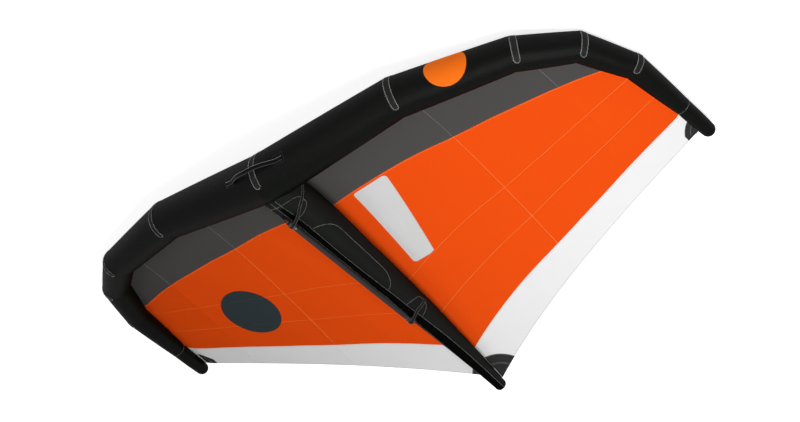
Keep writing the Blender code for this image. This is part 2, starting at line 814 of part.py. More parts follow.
def rounded_outline(corners, radius, steps=4):
    """A closed outline with each corner rounded by an arc."""
    outline = []
    count = len(corners)
    for i, corner in enumerate(corners):
        before = (corners[i - 1] - corner).normalized()
        after = (corners[(i + 1) % count] - corner).normalized()
        half = before.angle(after) / 2
        centre = corner + (before + after).normalized() * radius / math.sin(half)
        start = corner + before * radius / math.tan(half) - centre
        end = corner + after * radius / math.tan(half) - centre
        for share in share_list(steps):
            outline.append(centre + (start * (1 - share) + end * share).normalized() * radius)
    return outline


def window_prism(name, side, inset):
    """An upright prism with the window's outline, tall enough to pass through the canopy."""
    corners = []
    for (across, along), way in zip(WINDOW_CORNER_SHARES, ((1, 1), (-1, 1), (-1, -1), (1, -1))):
        corners.append(Vector((across * HALF_SPAN, along * CHORD)) + Vector(way) * inset)
    outline = [(side * p.x, p.y) for p in rounded_outline(corners, WINDOW_CORNER_RADIUS)]
    return flat(name, outline, 0.0, TIP_RISE, target=CUTTERS)


def window(panel, side, word):
    film = evaluated_copy(panel, f"window_{word}", WINDOW_PLASTIC)
    cut(panel, window_prism(f"window_hole_{word}", side, 0.0))
    cut(film, window_prism(f"window_edge_{word}", side, GAP), "INTERSECT")


# Strut


def strut_at(y):
    """Radius and axis height of the strut at a place along it."""
    places = [s[0] * STRUT_LENGTH for s in STRUT_SHARES]
    radius = np.interp(y, places, [s[1] * STRUT_RADIUS for s in STRUT_SHARES])
    height = np.interp(y, places, [s[2] * STRUT_RADIUS for s in STRUT_SHARES])
    return float(radius), float(height)


def strut_point(y, angle, height=0.0, lift=1.0):
    """A point over the strut, turned from its underside towards +X. The lift clears a patch's corners."""
    radius, axis = strut_at(y)
    reach = (radius + height) * lift
    return Vector((reach * math.sin(angle), y, axis - reach * math.cos(angle)))


def strut_ring(y, offset, sides=RING_SIDES):
    return [strut_point(y, 2 * math.pi * (i + 0.5) / sides, offset) for i in range(sides)]


def strut():
    joint = STRUT_CAP_JOINT_SHARE * STRUT_LENGTH
    places = [s[0] * STRUT_LENGTH for s in STRUT_SHARES if s[0] < STRUT_CAP_JOINT_SHARE]
    walls = [[strut_ring(y, -wall) for y in places + [joint - GAP / 2]] for wall in (0.0, SLEEVE_WALL)]
    sleeve = loft_wall("strut_sleeve", walls[0], walls[1], BLACK_CLOTH)
    ends = [le_ring(0, GAP), le_ring(1, GAP)]
    saddle = solid_loft("strut_saddle", [mirrored(ends[1], -1)] + ends, None, target=CUTTERS)
    cut(sleeve, saddle)
    radius, height = strut_at(STRUT_LENGTH)
    centre = Vector((0, STRUT_LENGTH, height))
    along = Vector((0, 1, 0))
    tail = []
    for wall in (0.0, SLEEVE_WALL):
        last = strut_ring(STRUT_LENGTH, -wall)
        rings = [strut_ring(joint + GAP / 2, -wall), last]
        tail.append(rings + dome(last, centre, along, radius - wall, CAP_STEPS))
    loft_wall("strut_tail_cap", tail[0], tail[1], BLACK_CLOTH)
    return sleeve


def strut_bladder():
    """The strut's bladder, closed at both ends."""
    offset = -SLEEVE_WALL - BLADDER_CLEARANCE
    places = [s[0] * STRUT_LENGTH for s in STRUT_SHARES if STRUT_BLADDER_START < s[0] * STRUT_LENGTH]
    rings = [strut_ring(y, offset, BLADDER_SIDES) for y in [STRUT_BLADDER_START] + places]
    closed = []
    for ring, way in ((rings[0], -1), (rings[-1], 1)):
        radius, height = strut_at(ring[0].y)
        closed.append([Vector((0, ring[0].y + way * radius / 3, height))])
    return loft_skin("strut_bladder", [closed[0]] + rings + [closed[1]], BLADDER_WALL, BLADDER_FILM)


STRIP_LIFT = 1 / math.cos(STRIP_HALF_ANGLE / 3)


def strut_strip():
    """The strip along the underside, between the two long seams."""
    end = STRUT_CAP_JOINT_SHARE * STRUT_LENGTH - PATCH_MARGIN
    places = [s[0] * STRUT_LENGTH for s in STRUT_SHARES]
    places = [STRIP_START] + [y for y in places if STRIP_START < y < end] + [end]

    def surface(u, v, height):
        return strut_point(places[round(v * (len(places) - 1))], u * STRIP_HALF_ANGLE, height, STRIP_LIFT)

    rows = share_list(len(places) - 1)
    low = even(GAP, STRIP_COLUMN_SHARES)
    curved_patch("strut_bottom_strip", surface, STRIP_COLUMN_SHARES, rows, low, GAP + PATCH, DEEP_BLACK)


def strut_web():
    """Cloth that fills the space between the strut's top and the canopy's middle line."""
    shares = []
    for row, count in ROWS.items():
        low, high = row_shares(row, 0.0)
        shares += [low + (high - low) * s for s in share_list(count)[:-1]]
    edge = [canopy_point(0.0, s) for s in shares + [1.0]]
    places = [p.y for p in edge] + [s[0] * STRUT_LENGTH for s in STRUT_SHARES]
    end = WEB_END_SHARE * STRUT_LENGTH
    places = [WEB_START] + sorted(y for y in places if WEB_START < y < end) + [end]
    outline_low = []
    outline_high = []
    for y in places:
        radius, axis = strut_at(y)
        outline_low.append((y, axis + radius * math.cos(STEP / 2) + GAP))
        top = float(np.interp(y, [p.y for p in edge], [p.z for p in edge]))
        outline_high.append((y, top - CLOTH / 2 - GAP * 2))
    outline = outline_low + list(reversed(outline_high))
    upright = Matrix(((0, 0, 1, 0), (1, 0, 0, 0), (0, 1, 0, 0), (0, 0, 0, 1)))
    flat("strut_web", outline, -CLOTH / 2, CLOTH / 2, BLACK_CLOTH, upright)


def patch_lift(half_angle):
    """How far a patch's corners stand out so that its flats clear the round."""
    return 1 / math.cos(half_angle / (len(PATCH_COLUMN_SHARES) - 1))


# Height of a patch's underside over the strip that it covers
PATCH_SEAT = PATCH + GAP * 3 + STRUT_RADIUS * (STRIP_LIFT - 1)


def strut_patches():
    for place, patch, steps in (("front", FRONT_PATCH, 4), ("middle", MIDDLE_PATCH, 8), ("rear", REAR_PATCH, 4)):

        def surface(u, v, height, patch=patch):
            start, length, half_angle, round_share = patch
            reach = length * (1 - round_share * (1 - math.sqrt(1 - u * u)))
            y = start + (length - reach) / 2 + reach * v
            return strut_point(y, u * half_angle, height, patch_lift(half_angle))

        low = even(PATCH_SEAT, PATCH_COLUMN_SHARES)
        high = PATCH_SEAT + PATCH
        name = f"strut_patch_{place}"
        curved_patch(name, surface, PATCH_COLUMN_SHARES, share_list(steps), low, high, BLACK_CLOTH)


# Boom and its slings


BOOM_START = Vector((0, BOOM_FRONT, -BOOM_FRONT_DROP))
BOOM_END = Vector((0, BOOM_REAR, -BOOM_REAR_DROP))
BOOM_WAY = (BOOM_END - BOOM_START).normalized()


def boom_frame(point, way):
    """A frame on the boom with its Z axis along it."""
    side = Vector((1, 0, 0))
    rows = Matrix((side, way.cross(side), way)).transposed().to_4x4()
    return Matrix.Translation(point) @ rows


def boom():
    length = (BOOM_END - BOOM_START).length
    frame = boom_frame(BOOM_START, BOOM_WAY)
    low = BOOM_CAP_END_WALL + GAP
    inner = BOOM_TUBE_RADIUS - BOOM_TUBE_WALL
    ends = (low, length - low)
    turned("boom_tube", profile_of(inner, BOOM_TUBE_RADIUS, ends), BOOM_SIDES, CARBON, frame)
    ends = (BOOM_CAP_LENGTH + GRIP_END_GAP, length - BOOM_CAP_LENGTH - GRIP_END_GAP)
    turned("boom_grip", profile_of(BOOM_TUBE_RADIUS + GAP, GRIP_RADIUS, ends), BOOM_SIDES, GRIP_FOAM, frame)
    floor = BOOM_CAP_LENGTH - BOOM_CAP_END_WALL
    bore = BOOM_TUBE_RADIUS + GAP
    cap = [
        (0.0, floor),
        (bore, floor),
        (bore, 0.0),
        (BOOM_CAP_RADIUS, 0.0),
        (BOOM_CAP_RADIUS, BOOM_GROOVE_START),
        (BOOM_GROOVE_RADIUS, BOOM_GROOVE_START),
        (BOOM_GROOVE_RADIUS, BOOM_GROOVE_END),
        (BOOM_CAP_RADIUS, BOOM_GROOVE_END),
        (BOOM_CAP_RADIUS, BOOM_CAP_LENGTH - BOOM_CAP_CHAMFER),
        (BOOM_CAP_RADIUS - BOOM_CAP_CHAMFER, BOOM_CAP_LENGTH),
        (0.0, BOOM_CAP_LENGTH),
    ]
    front = boom_frame(BOOM_START + BOOM_WAY * BOOM_CAP_LENGTH, -BOOM_WAY)
    rear = boom_frame(BOOM_END - BOOM_WAY * BOOM_CAP_LENGTH, BOOM_WAY)
    turned("boom_end_front", cap, BOOM_SIDES, MOULDED_BLACK, front, closed=False)
    turned("boom_end_rear", cap, BOOM_SIDES, MOULDED_BLACK, rear, closed=False)


def profile_of(inner, outer, ends):
    low, high = ends
    return [(inner, low), (outer, low), (outer, high), (inner, high)]


def across_band(point):
    """The two edges of the band at a place where it runs square to the strut."""
    wide = Vector((0, SLING_WIDTH / 2, 0))
    return [point - wide, point + wide]


def sling(name, top_y, leave_y, boom_point, top_angle, patch):
    """A band sewn down both sides of the strut that passes under the boom's end."""
    half_angle = patch[2]
    high = PATCH_SEAT + PATCH + GAP * 2 + SLING_THICKNESS / 2
    low = GAP * 2 + SLING_THICKNESS / 2
    turn = (top_angle - SLING_LEAVE_ANGLE) / SLING_STEPS
    half = []
    for share in share_list(SLING_STEPS):
        angle = top_angle + (SLING_LEAVE_ANGLE - top_angle) * share
        on_patch = angle < half_angle * SLING_REST_SHARE
        lift = patch_lift(half_angle) if on_patch else 1 / math.cos(turn / 2)
        y = top_y + (leave_y - top_y) * share
        edges = [strut_point(y + way * SLING_WIDTH / 2, angle, high if on_patch else low, lift) for way in (-1, 1)]
        half.append((edges, Vector((math.sin(angle), 0, -math.cos(angle)))))
    reach = BOOM_GROOVE_RADIUS + SLING_GROOVE_CLEARANCE + SLING_THICKNESS / 2
    leave = (half[-1][0][0] + half[-1][0][1]) / 2
    away = leave - boom_point
    distance = math.hypot(away.x, away.z)
    wrap = math.atan2(away.x, -away.z) - math.acos(reach / distance)
    chord = reach / math.cos(wrap / SLING_WRAP_STEPS)
    under = []
    for share in share_list(SLING_WRAP_STEPS):
        angle = wrap * (1 - 2 * share)
        out = Vector((math.sin(angle), 0, -math.cos(angle)))
        under.append((across_band(boom_point + out * chord), out))
    upright = (boom_point + under[0][1] * chord).lerp(leave, SLING_UPRIGHT_SHARE)
    upright.y = boom_point.y
    half.append((across_band(upright), under[0][1]))
    other = [(mirrored(edges, -1), mirrored([out], -1)[0]) for edges, out in reversed(half)]
    rings = []
    for (fore, aft), out in half + under + other:
        thick = out * SLING_THICKNESS / 2
        rings.append([fore - thick, aft - thick, aft + thick, fore + thick])
    solid_loft(name, rings, WEBBING)


def slings():
    groove = BOOM_CAP_LENGTH - (BOOM_GROOVE_START + BOOM_GROOVE_END) / 2
    front = BOOM_START + BOOM_WAY * groove
    rear = BOOM_END - BOOM_WAY * groove
    sling("boom_strap_front", FRONT_SLING_TOP, FRONT_SLING_LEAVE, front, FRONT_SLING_TOP_ANGLE, FRONT_PATCH)
    sling("boom_strap_rear", REAR_SLING_TOP, REAR_SLING_LEAVE, rear, REAR_SLING_TOP_ANGLE, REAR_PATCH)


# Handle


HANDLE_BASE_SEAT = GAP + LE_RADIUS * (1 / math.cos(HANDLE_BASE_HALF_ANGLE / 3) - 1)


def handle_bases(handle):
    for side in (1, -1):

        def surface(u, v, height):
            station = HANDLE_BASE_INNER + (HANDLE_BASE_OUTER - HANDLE_BASE_INNER) * v
            angle = HANDLE_END_ANGLE + u * HANDLE_BASE_HALF_ANGLE
            point, out, _ = le_frame_at(station, angle, side)
            return point + out * height

        low = even(HANDLE_BASE_SEAT, STRIP_COLUMN_SHARES)
        high = HANDLE_BASE_SEAT + PATCH
        patch = curved_patch("base", surface, STRIP_COLUMN_SHARES, share_list(3), low, high, None, CUTTERS)
        cut(handle, patch, "UNION")


def handle():
    """The soft handle: sewn down to a base at both ends, and free between them for a hand."""
    low = HANDLE_BASE_SEAT + PATCH - SEWN_DEPTH + HANDLE_THICKNESS / 2
    rings = []
    for i in range(HANDLE_POINTS):
        share = 2 * i / (HANDLE_POINTS - 1) - 1
        side = 1 if share >= 0 else -1
        free = min(1.0, abs(share) / HANDLE_SEWN_SHARE)
        rise = (1 - free ** 2) ** 2 * (3 - 2 * (1 - free ** 2))
        angle = HANDLE_MID_ANGLE + (HANDLE_END_ANGLE - HANDLE_MID_ANGLE) * free ** 2
        point, out, _ = le_frame_at(abs(share) * HANDLE_HALF_LENGTH, angle, side)
        if i == HANDLE_POINTS // 2:
            out = Vector((0, out.y, out.z)).normalized()
        centre = point + out * (low + HANDLE_STANDOFF * rise)
        across = Vector((1, 0, 0)).cross(out).normalized()
        ring = []
        for wide, thick in HANDLE_SECTION_SHARES:
            ring.append(centre + across * wide * HANDLE_WIDTH / 2 + out * thick * HANDLE_THICKNESS / 2)
        rings.append(ring)
    return solid_loft("le_handle", rings, WEBBING)


# Valve


def valve(sleeve, bladder):
    point, out, along = le_frame_at(VALVE_STATION, VALVE_ANGLE, -1)
    frame = frame_matrix(point, out, along)
    hole = rod_cutter("valve_hole", frame, VALVE_NECK_RADIUS + GAP, VALVE_FLANGE_RADIUS)
    cut(sleeve, hole)
    cut(bladder, hole)
    valve_base(frame)
    insert = [
        (INSERT_BORE_RADIUS, -INSERT_DEPTH),
        (INSERT_RADIUS, -INSERT_DEPTH),
        (INSERT_RADIUS, INSERT_RIM_LOW),
        (INSERT_RIM_RADIUS, INSERT_RIM_LOW),
        (INSERT_RIM_RADIUS, INSERT_RIM_TOP),
        (INSERT_BORE_RADIUS, INSERT_RIM_TOP),
    ]
    turned("valve_insert", insert, VALVE_SIDES, MOULDED_GREY, frame)
    hinge = frame @ Matrix.Translation((-FLAP_RADIUS, 0, -INSERT_DEPTH - GAP))
    middle = hinge @ Matrix.Translation((FLAP_RADIUS, 0, 0))
    rod("valve_flap", FLAP_RADIUS, -FLAP_THICKNESS, 0.0, MOULDED_BLACK, middle)
    valve_cap(frame)


def valve_base(frame):
    """Neck and flange, with the flange bent round the tube, and two cheeks for the cap's hinge."""
    bend = 1 / (2 * LE_RADIUS)
    flange_top = GAP + VALVE_FLANGE_THICKNESS
    section = (
        (VALVE_BORE_RADIUS, -VALVE_NECK_DEPTH, 0),
        (VALVE_NECK_RADIUS, -VALVE_NECK_DEPTH, 0),
        (VALVE_NECK_RADIUS, GAP, bend),
        (VALVE_FLANGE_RADIUS, GAP, bend),
        (VALVE_FLANGE_RADIUS, flange_top, bend),
        (VALVE_NECK_RADIUS, flange_top, bend),
        (VALVE_NECK_RADIUS, VALVE_NECK_TOP, 0),
        (VALVE_BORE_RADIUS, VALVE_NECK_TOP, 0),
    )
    rings = []
    for radius, height, fall in section:
        ring = []
        for i in range(VALVE_SIDES):
            angle = 2 * math.pi * i / VALVE_SIDES
            across = radius * math.sin(angle)
            ring.append(Vector((radius * math.cos(angle), across, height - fall * across ** 2)))
        rings.append(ring)
    base = ring_body("valve_base", rings, MOULDED_BLACK, frame)
    inner = TONGUE_WIDTH / 2 + CHEEK_CLEARANCE
    for side, word in ((1, "near"), (-1, "far")):
        low_y, high_y = sorted((side * inner, side * (inner + CHEEK_THICKNESS)))
        low = (CAP_HINGE_REACH - CHEEK_HALF_LENGTH, low_y, CHEEK_FOOT)
        high = (CAP_HINGE_REACH + CHEEK_HALF_LENGTH, high_y, CAP_HINGE_HEIGHT + BARREL_RADIUS)
        cut(base, box(f"valve_cheek_{word}", low, high, None, frame, CUTTERS), "UNION")


def valve_cap(frame):
    """The cap with a tongue and a barrel on the base's hinge."""
    low = INSERT_RIM_TOP + GAP
    profile = [
        (0.0, low - CAP_PLUG_DEPTH),
        (CAP_PLUG_RADIUS, low - CAP_PLUG_DEPTH),
        (CAP_PLUG_RADIUS, low),
        (CAP_RADIUS, low),
        (CAP_RADIUS, low + CAP_THICKNESS - CAP_EDGE_CHAMFER),
        (CAP_RADIUS - CAP_EDGE_CHAMFER, low + CAP_THICKNESS),
        (0.0, low + CAP_THICKNESS),
    ]
    cap = turned("valve_cap", profile, VALVE_SIDES, MOULDED_GREY, frame, closed=False)
    wide = TONGUE_WIDTH / 2
    root = (TONGUE_ROOT, -wide, low + GAP)
    tongue = box("cap_tongue", root, (CAP_HINGE_REACH, wide, low + TONGUE_THICKNESS), None, frame, CUTTERS)
    hinge = frame @ Matrix.Translation((CAP_HINGE_REACH, 0, CAP_HINGE_HEIGHT))
    hinge = hinge @ Matrix.Rotation(math.pi / 2, 4, "X")
    barrel = rod("cap_barrel", BARREL_RADIUS, -wide, wide, None, hinge, CUTTERS)
    cut(tongue, barrel, "UNION")
    cut(cap, tongue, "UNION")


# Transfer hose


def hose(le_sleeve, le_bag, strut_sleeve, strut_bag):
    """The hose with its two ports and the pinch clip in its middle."""
    point_a, out_a, along_a = le_frame_at(HOSE_LE_STATION, HOSE_LE_ANGLE, -1, flat=True)
    point_b = strut_point(HOSE_STRUT_STATION, HOSE_STRUT_ANGLE, 0.0, math.cos(STEP / 2))
    ahead = strut_point(HOSE_STRUT_STATION + PORT_RADIUS, HOSE_STRUT_ANGLE, 0.0, math.cos(STEP / 2))
    along_b = (ahead - point_b).normalized()
    out_b = Vector((math.sin(HOSE_STRUT_ANGLE), 0, -math.cos(HOSE_STRUT_ANGLE)))
    out_b = (out_b - along_b * out_b.dot(along_b)).normalized()
    frames = (frame_matrix(point_a, out_a, along_a), frame_matrix(point_b, out_b, along_b))
    covers = ((le_sleeve, le_bag), (strut_sleeve, strut_bag))
    for name, frame, (sleeve, bag) in zip(("leading_edge", "strut"), frames, covers):
        hole = rod_cutter(f"port_hole_{name}", frame, PORT_RADIUS + GAP, PORT_FLANGE_RADIUS)
        cut(sleeve, hole)
        cut(bag, hole)
        port(f"hose_port_{name}", frame)
    corners = (
        point_a + out_a * HOSE_STRAIGHT,
        point_a + out_a * (HOSE_STRAIGHT + HOSE_BEND),
        point_b + out_b * (HOSE_STRAIGHT + HOSE_BEND),
        point_b + out_b * HOSE_STRAIGHT,
    )
    path = [point_a + out_a * HOSE_INSET]
    path += [bezier(corners, s) for s in share_list(HOSE_STEPS)]
    path.append(point_b + out_b * HOSE_INSET)
    curve = bpy.data.curves.new("transfer_hose", "CURVE")
    curve.dimensions = "3D"
    curve.bevel_depth = HOSE_RADIUS
    curve.bevel_resolution = HOSE_SIDES_RESOLUTION
    curve.use_fill_caps = True
    line = curve.splines.new("POLY")
    line.points.add(len(path) - 1)
    for place, p in zip(line.points, path):
        place.co = (*p, 1.0)
    add_object("transfer_hose", curve, HOSE_PLASTIC)
    middle = bezier(corners, 0.5)
    way = (bezier(corners, 0.55) - bezier(corners, 0.45)).normalized()
    up = Vector((0, 0, -1))
    clip(frame_matrix(middle, (up - way * up.dot(way)).normalized(), way))


def bezier(corners, s):
    a, b, c, d = corners
    return a * (1 - s) ** 3 + b * 3 * s * (1 - s) ** 2 + c * 3 * s * s * (1 - s) + d * s ** 3


def port(name, frame):
    """A flanged spigot."""
    section = [
        (PORT_BORE_RADIUS, -PORT_DEPTH),
        (PORT_RADIUS, -PORT_DEPTH),
        (PORT_RADIUS, GAP),
        (PORT_FLANGE_RADIUS, GAP),
        (PORT_FLANGE_RADIUS, GAP + PORT_FLANGE_THICKNESS),
        (PORT_RADIUS, GAP + PORT_FLANGE_THICKNESS),
        (PORT_RADIUS, PORT_LENGTH),
        (PORT_BORE_RADIUS, PORT_LENGTH),
    ]
    turned(name, section, VALVE_SIDES, MOULDED_BLACK, frame)


def clip(frame):
    """A block round the hose with a lever that folds flat on it."""
    low = (-CLIP_LENGTH / 2, -CLIP_WIDTH / 2, -CLIP_HEIGHT / 2)
    high = (CLIP_LENGTH / 2, CLIP_WIDTH / 2, CLIP_HEIGHT / 2)
    body = box("hose_clip_body", low, high, MOULDED_BLACK, frame)
    turned_frame = frame @ Matrix.Rotation(math.pi / 2, 4, "Y")
    cut(body, rod_cutter("clip_bore", turned_frame, CLIP_BORE_RADIUS, CLIP_LENGTH / 2 + BOX_OVERRUN))
    hinge = frame @ Matrix.Translation((0, -CLIP_WIDTH / 2, CLIP_HEIGHT / 2 + LEVER_LIFT))
    low = (-LEVER_WIDTH / 2, 0.0, 0.0)
    high = (LEVER_WIDTH / 2, LEVER_LENGTH, LEVER_THICKNESS)
    box("hose_clip_lever", low, high, MOULDED_GREY, hinge)


def lay_down():
    """Turn the wing on its back, on the floor and centred on its bounding box."""
    turn = Matrix.Rotation(-PITCH, 4, "X") @ Matrix.Rotation(math.pi, 4, "Y")
    WING.matrix_world = turn
    bpy.context.view_layer.update()
    graph = bpy.context.evaluated_depsgraph_get()
    low = np.full(3, np.inf)
    high = -low
    for item in PARTS.objects:
        if item.type not in ("MESH", "CURVE"):
            continue
        shown = item.evaluated_get(graph)
        mesh = shown.to_mesh()
        points = np.array([shown.matrix_world @ v.co for v in mesh.vertices])
        low = np.minimum(low, points.min(axis=0))
        high = np.maximum(high, points.max(axis=0))
        shown.to_mesh_clear()
    shift = Vector((-(low[0] + high[0]) / 2, -(low[1] + high[1]) / 2, -low[2]))
    WING.matrix_world = Matrix.Translation(shift) @ turn
    bpy.context.view_layer.update()


def main():
    sleeves = le_sleeves()
    bladder = le_bladder()
    kink_patches(sleeves)
    canopy()
    corner_patches()
    strut_sleeve = strut()
    strut_bag = strut_bladder()
    strut_strip()
    strut_web()
    strut_patches()
    boom()
    slings()
    handle_bases(handle())
    valve(sleeves["centre", "right"], bladder)
    hose(sleeves["centre", "right"], bladder, strut_sleeve, strut_bag)
    lay_down()


main()
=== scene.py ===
"""Dressed scene of an inflatable hand-held wing that lies on its back, strut and boom on top.

Shapes are worked out in the wing's own axes, +X to the rider's left, +Y aft along the strut and +Z towards
the canopy's outer side, and one turn lays them down in the frame's axes. Lengths are metres.
"""

import json
import math

import bpy
import numpy as np
from mathutils import Matrix, Vector


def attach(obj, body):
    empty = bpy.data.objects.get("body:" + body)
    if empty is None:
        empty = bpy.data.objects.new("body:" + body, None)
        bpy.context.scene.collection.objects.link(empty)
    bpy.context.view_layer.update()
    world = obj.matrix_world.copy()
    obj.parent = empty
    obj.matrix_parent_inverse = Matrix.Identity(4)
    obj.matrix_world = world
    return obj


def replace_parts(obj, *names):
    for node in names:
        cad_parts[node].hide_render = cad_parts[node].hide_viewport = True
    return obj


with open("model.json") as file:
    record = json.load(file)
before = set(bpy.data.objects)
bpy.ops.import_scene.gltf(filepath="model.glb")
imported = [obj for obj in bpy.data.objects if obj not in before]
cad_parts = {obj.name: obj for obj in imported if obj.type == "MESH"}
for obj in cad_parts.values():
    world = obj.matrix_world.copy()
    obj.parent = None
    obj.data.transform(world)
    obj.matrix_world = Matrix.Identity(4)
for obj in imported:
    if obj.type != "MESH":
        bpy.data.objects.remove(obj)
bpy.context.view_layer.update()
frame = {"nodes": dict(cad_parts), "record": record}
BODY = "wing"
HALVES = ((1, "left"), (-1, "right"))
FACES = (("top", 1), ("under", -1))

# The wing's own sizes
HALF_SPAN = 1.973
TIP_SWEEP = 1.357
TIP_RISE = 0.454
STRUT_LENGTH = 2.072
CHORD = 2.108
LE_RADIUS = 0.141
TIP_RADIUS = 0.042
HALF_CLOTH = 0.00075
PATCH = 0.0015
LE_STATIONS = np.array((
    (0.0, 0.0, 0.0, 1.0),
    (0.4435, 0.031, 0.368, 0.762),
    (0.770, 0.162, 0.617, 0.553),
    (0.908, 0.315, 0.801, 0.429),
    (0.977, 0.541, 0.907, 0.305),
    (0.995, 0.845, 0.971, 0.058),
    (1.0, 1.0, 1.0, 0.0),
))
CENTRES = LE_STATIONS[:, :3] * (HALF_SPAN, TIP_SWEEP, TIP_RISE)
RADII = TIP_RADIUS + (LE_RADIUS - TIP_RADIUS) * LE_STATIONS[:, 3]
LENGTHS = np.linalg.norm(np.diff(CENTRES, axis=0), axis=1)
LAST = len(RADII) - 1

# The turn that lays the wing down
PITCH_COS = 0.9932687
PITCH_SIN = 0.1158335
LAY = np.array(((-1.0, 0.0, 0.0), (0.0, PITCH_COS, PITCH_SIN), (0.0, PITCH_SIN, -PITCH_COS)))
LAY_SHIFT = np.array((0.0, -0.9601322, 0.3928199))
FLOOR_GAP = 0.0005

# Camera, fitted to the photograph: its right, up and backward ways in the wing's axes
CAMERA_WAYS = np.array((
    (0.75469357, 0.64240438, 0.13324502),
    (0.37384265, -0.58797008, 0.71730945),
    (0.53914682, -0.49153616, -0.68389539),
))
CAMERA_SHIFT = np.array((-0.787471, 0.193208, -11.430631)) * 0.94
IMAGE_WIDTH = 800
FOCAL_PIXELS = 1952.35
SENSOR_WIDTH = 36.0
FAR = 200.0


def laid(points):
    """Points of the wing's own axes in the frame's."""
    return np.asarray(points, float) @ LAY.T + LAY_SHIFT


def unit(v):
    """Vectors made one long."""
    return v / np.maximum(np.linalg.norm(v, axis=-1, keepdims=True), 1e-12)


def pairs(a, b):
    """Two arrays broadcast to (a, b) pairs."""
    return np.stack(np.broadcast_arrays(a, b), -1)


def run_along(path):
    """The length run at each point of a path."""
    return np.concatenate(([0.0], np.cumsum(np.linalg.norm(np.diff(path, axis=0), axis=1))))


def fold_out(path):
    """A line that starts in the middle, made whole with its mirror image."""
    return np.concatenate((-path[:0:-1], path))


def circle(count):
    """Angles once round."""
    return np.linspace(0, math.tau, count, endpoint=False)


def half_turn(count, edge=1.0):
    """Places from one edge of a strip to the other, closer together near its edges."""
    return np.sin(np.linspace(-math.pi / 2, math.pi / 2, count)) * edge


def smooth_step(share):
    """An eased way from 0 to 1."""
    return share ** 2 * (3 - 2 * share)


def new_object(name, data):
    """An object with its data, in the scene."""
    item = bpy.data.objects.new(name, data)
    bpy.context.scene.collection.objects.link(item)
    return item


def make_camera():
    """The camera that took the photograph."""
    data = bpy.data.cameras.new("camera")
    data.sensor_width = SENSOR_WIDTH
    data.lens = FOCAL_PIXELS * SENSOR_WIDTH / IMAGE_WIDTH
    data.clip_end = FAR
    item = new_object("camera", data)
    ways = CAMERA_WAYS @ LAY.T
    matrix = Matrix([list(row) + [0.0] for row in ways.tolist()] + [[0, 0, 0, 1]]).transposed()
    matrix.translation = Vector(laid(-CAMERA_WAYS.T @ CAMERA_SHIFT).tolist())
    item.matrix_world = matrix
    bpy.context.scene.camera = item


make_camera()


# Materials

SPECULAR, COAT, COAT_ROUGH = "Specular IOR Level", "Coat Weight", "Coat Roughness"


class Nodes:
    """Short hand for building the node tree of a material or a world."""

    def __init__(self, owner):
        owner.use_nodes = True
        self.tree = owner.node_tree

    def set(self, socket, value):
        """Links another node's output to a socket, or sets its plain value."""
        if isinstance(value, bpy.types.NodeSocket):
            self.tree.links.new(value, socket)
        else:
            socket.default_value = value

    def add(self, kind, inputs=None, **settings):
        """A node with its settings and inputs."""
        node = self.tree.nodes.new("ShaderNode" + kind)
        for key, value in settings.items():
            setattr(node, key, value)
        for key, value in (inputs or {}).items():
            self.set(node.inputs[key], value)
        return node

    def maths(self, kind, a, b=0.0, c=0.0):
        return self.add("Math", {0: a, 1: b, 2: c}, operation=kind).outputs[0]

    def total(self, start, *parts):
        """start and each part's value x factor."""
        for value, factor in parts:
            start = self.maths("MULTIPLY_ADD", value, factor, start)
        return start

    def mix(self, factor, a, b):
        return self.add("Mix", {0: factor, 6: a, 7: b}, data_type="RGBA").outputs[2]

    def tones(self, factor, colour, low, high):
        """A colour between two brightnesses of itself."""
        return self.mix(factor, tone(colour, low), tone(colour, high))

    def ramp(self, value, low, high, a=0.0, b=1.0):
        return self.add("MapRange", {0: value, 1: low, 2: high, 3: a, 4: b}).outputs[0]

    def noise(self, where, scale, detail=3.0, rough=0.55):
        made = self.add("TexNoise", {"Vector": where, "Scale": scale, "Detail": detail, "Roughness": rough})
        return made.outputs[0]

    def place(self, kind):
        return self.add("TexCoord").outputs[kind]

    def axis(self, where, name):
        return self.add("SeparateXYZ", {0: where}).outputs[name]

    def seen(self):
        """1 for what the lens sees straight, in a gloss or through clear film, 0 for the light on the part."""
        path = self.add("LightPath").outputs
        seen = self.maths("MAXIMUM", path["Is Camera Ray"], path["Is Glossy Ray"])
        return self.maths("MAXIMUM", seen, path["Is Transmission Ray"])

    def wire(self, values, height=None, strength=1.0, normals=("Normal",)):
        """Gives the shader its values by name, and a bump from a height."""
        if height is not None:
            bump = self.add("Bump", {"Height": height, "Distance": 1.0, "Strength": strength})
            values = values | dict.fromkeys(normals, bump.outputs[0])
        for key, value in values.items():
            self.set(self.tree.nodes["Principled BSDF"].inputs[key], value)


def tone(colour, factor):
    """A colour made darker or lighter."""
    return tuple(min(1.0, c * factor) for c in colour) + (1.0,)


def threads(n, where, pitch):
    """A plain weave: rounded threads over and under one another."""
    x, y = (n.maths("SINE", n.maths("MULTIPLY", n.axis(where, name), math.pi / pitch)) for name in "XY")
    return n.total(0.5, (n.maths("MULTIPLY", x, y), 0.5))


def ripstop(n, where, pitch, width):
    """A square grid of heavier threads: 1 on them and 0 between."""
    lines = []
    for name in "XY":
        step = n.maths("FRACT", n.maths("DIVIDE", n.axis(where, name), pitch))
        away = n.maths("ABSOLUTE", n.maths("SUBTRACT", step, 0.5))
        lines.append(n.ramp(away, 0.5 - width / pitch, 0.5))
    return n.maths("MAXIMUM", *lines)


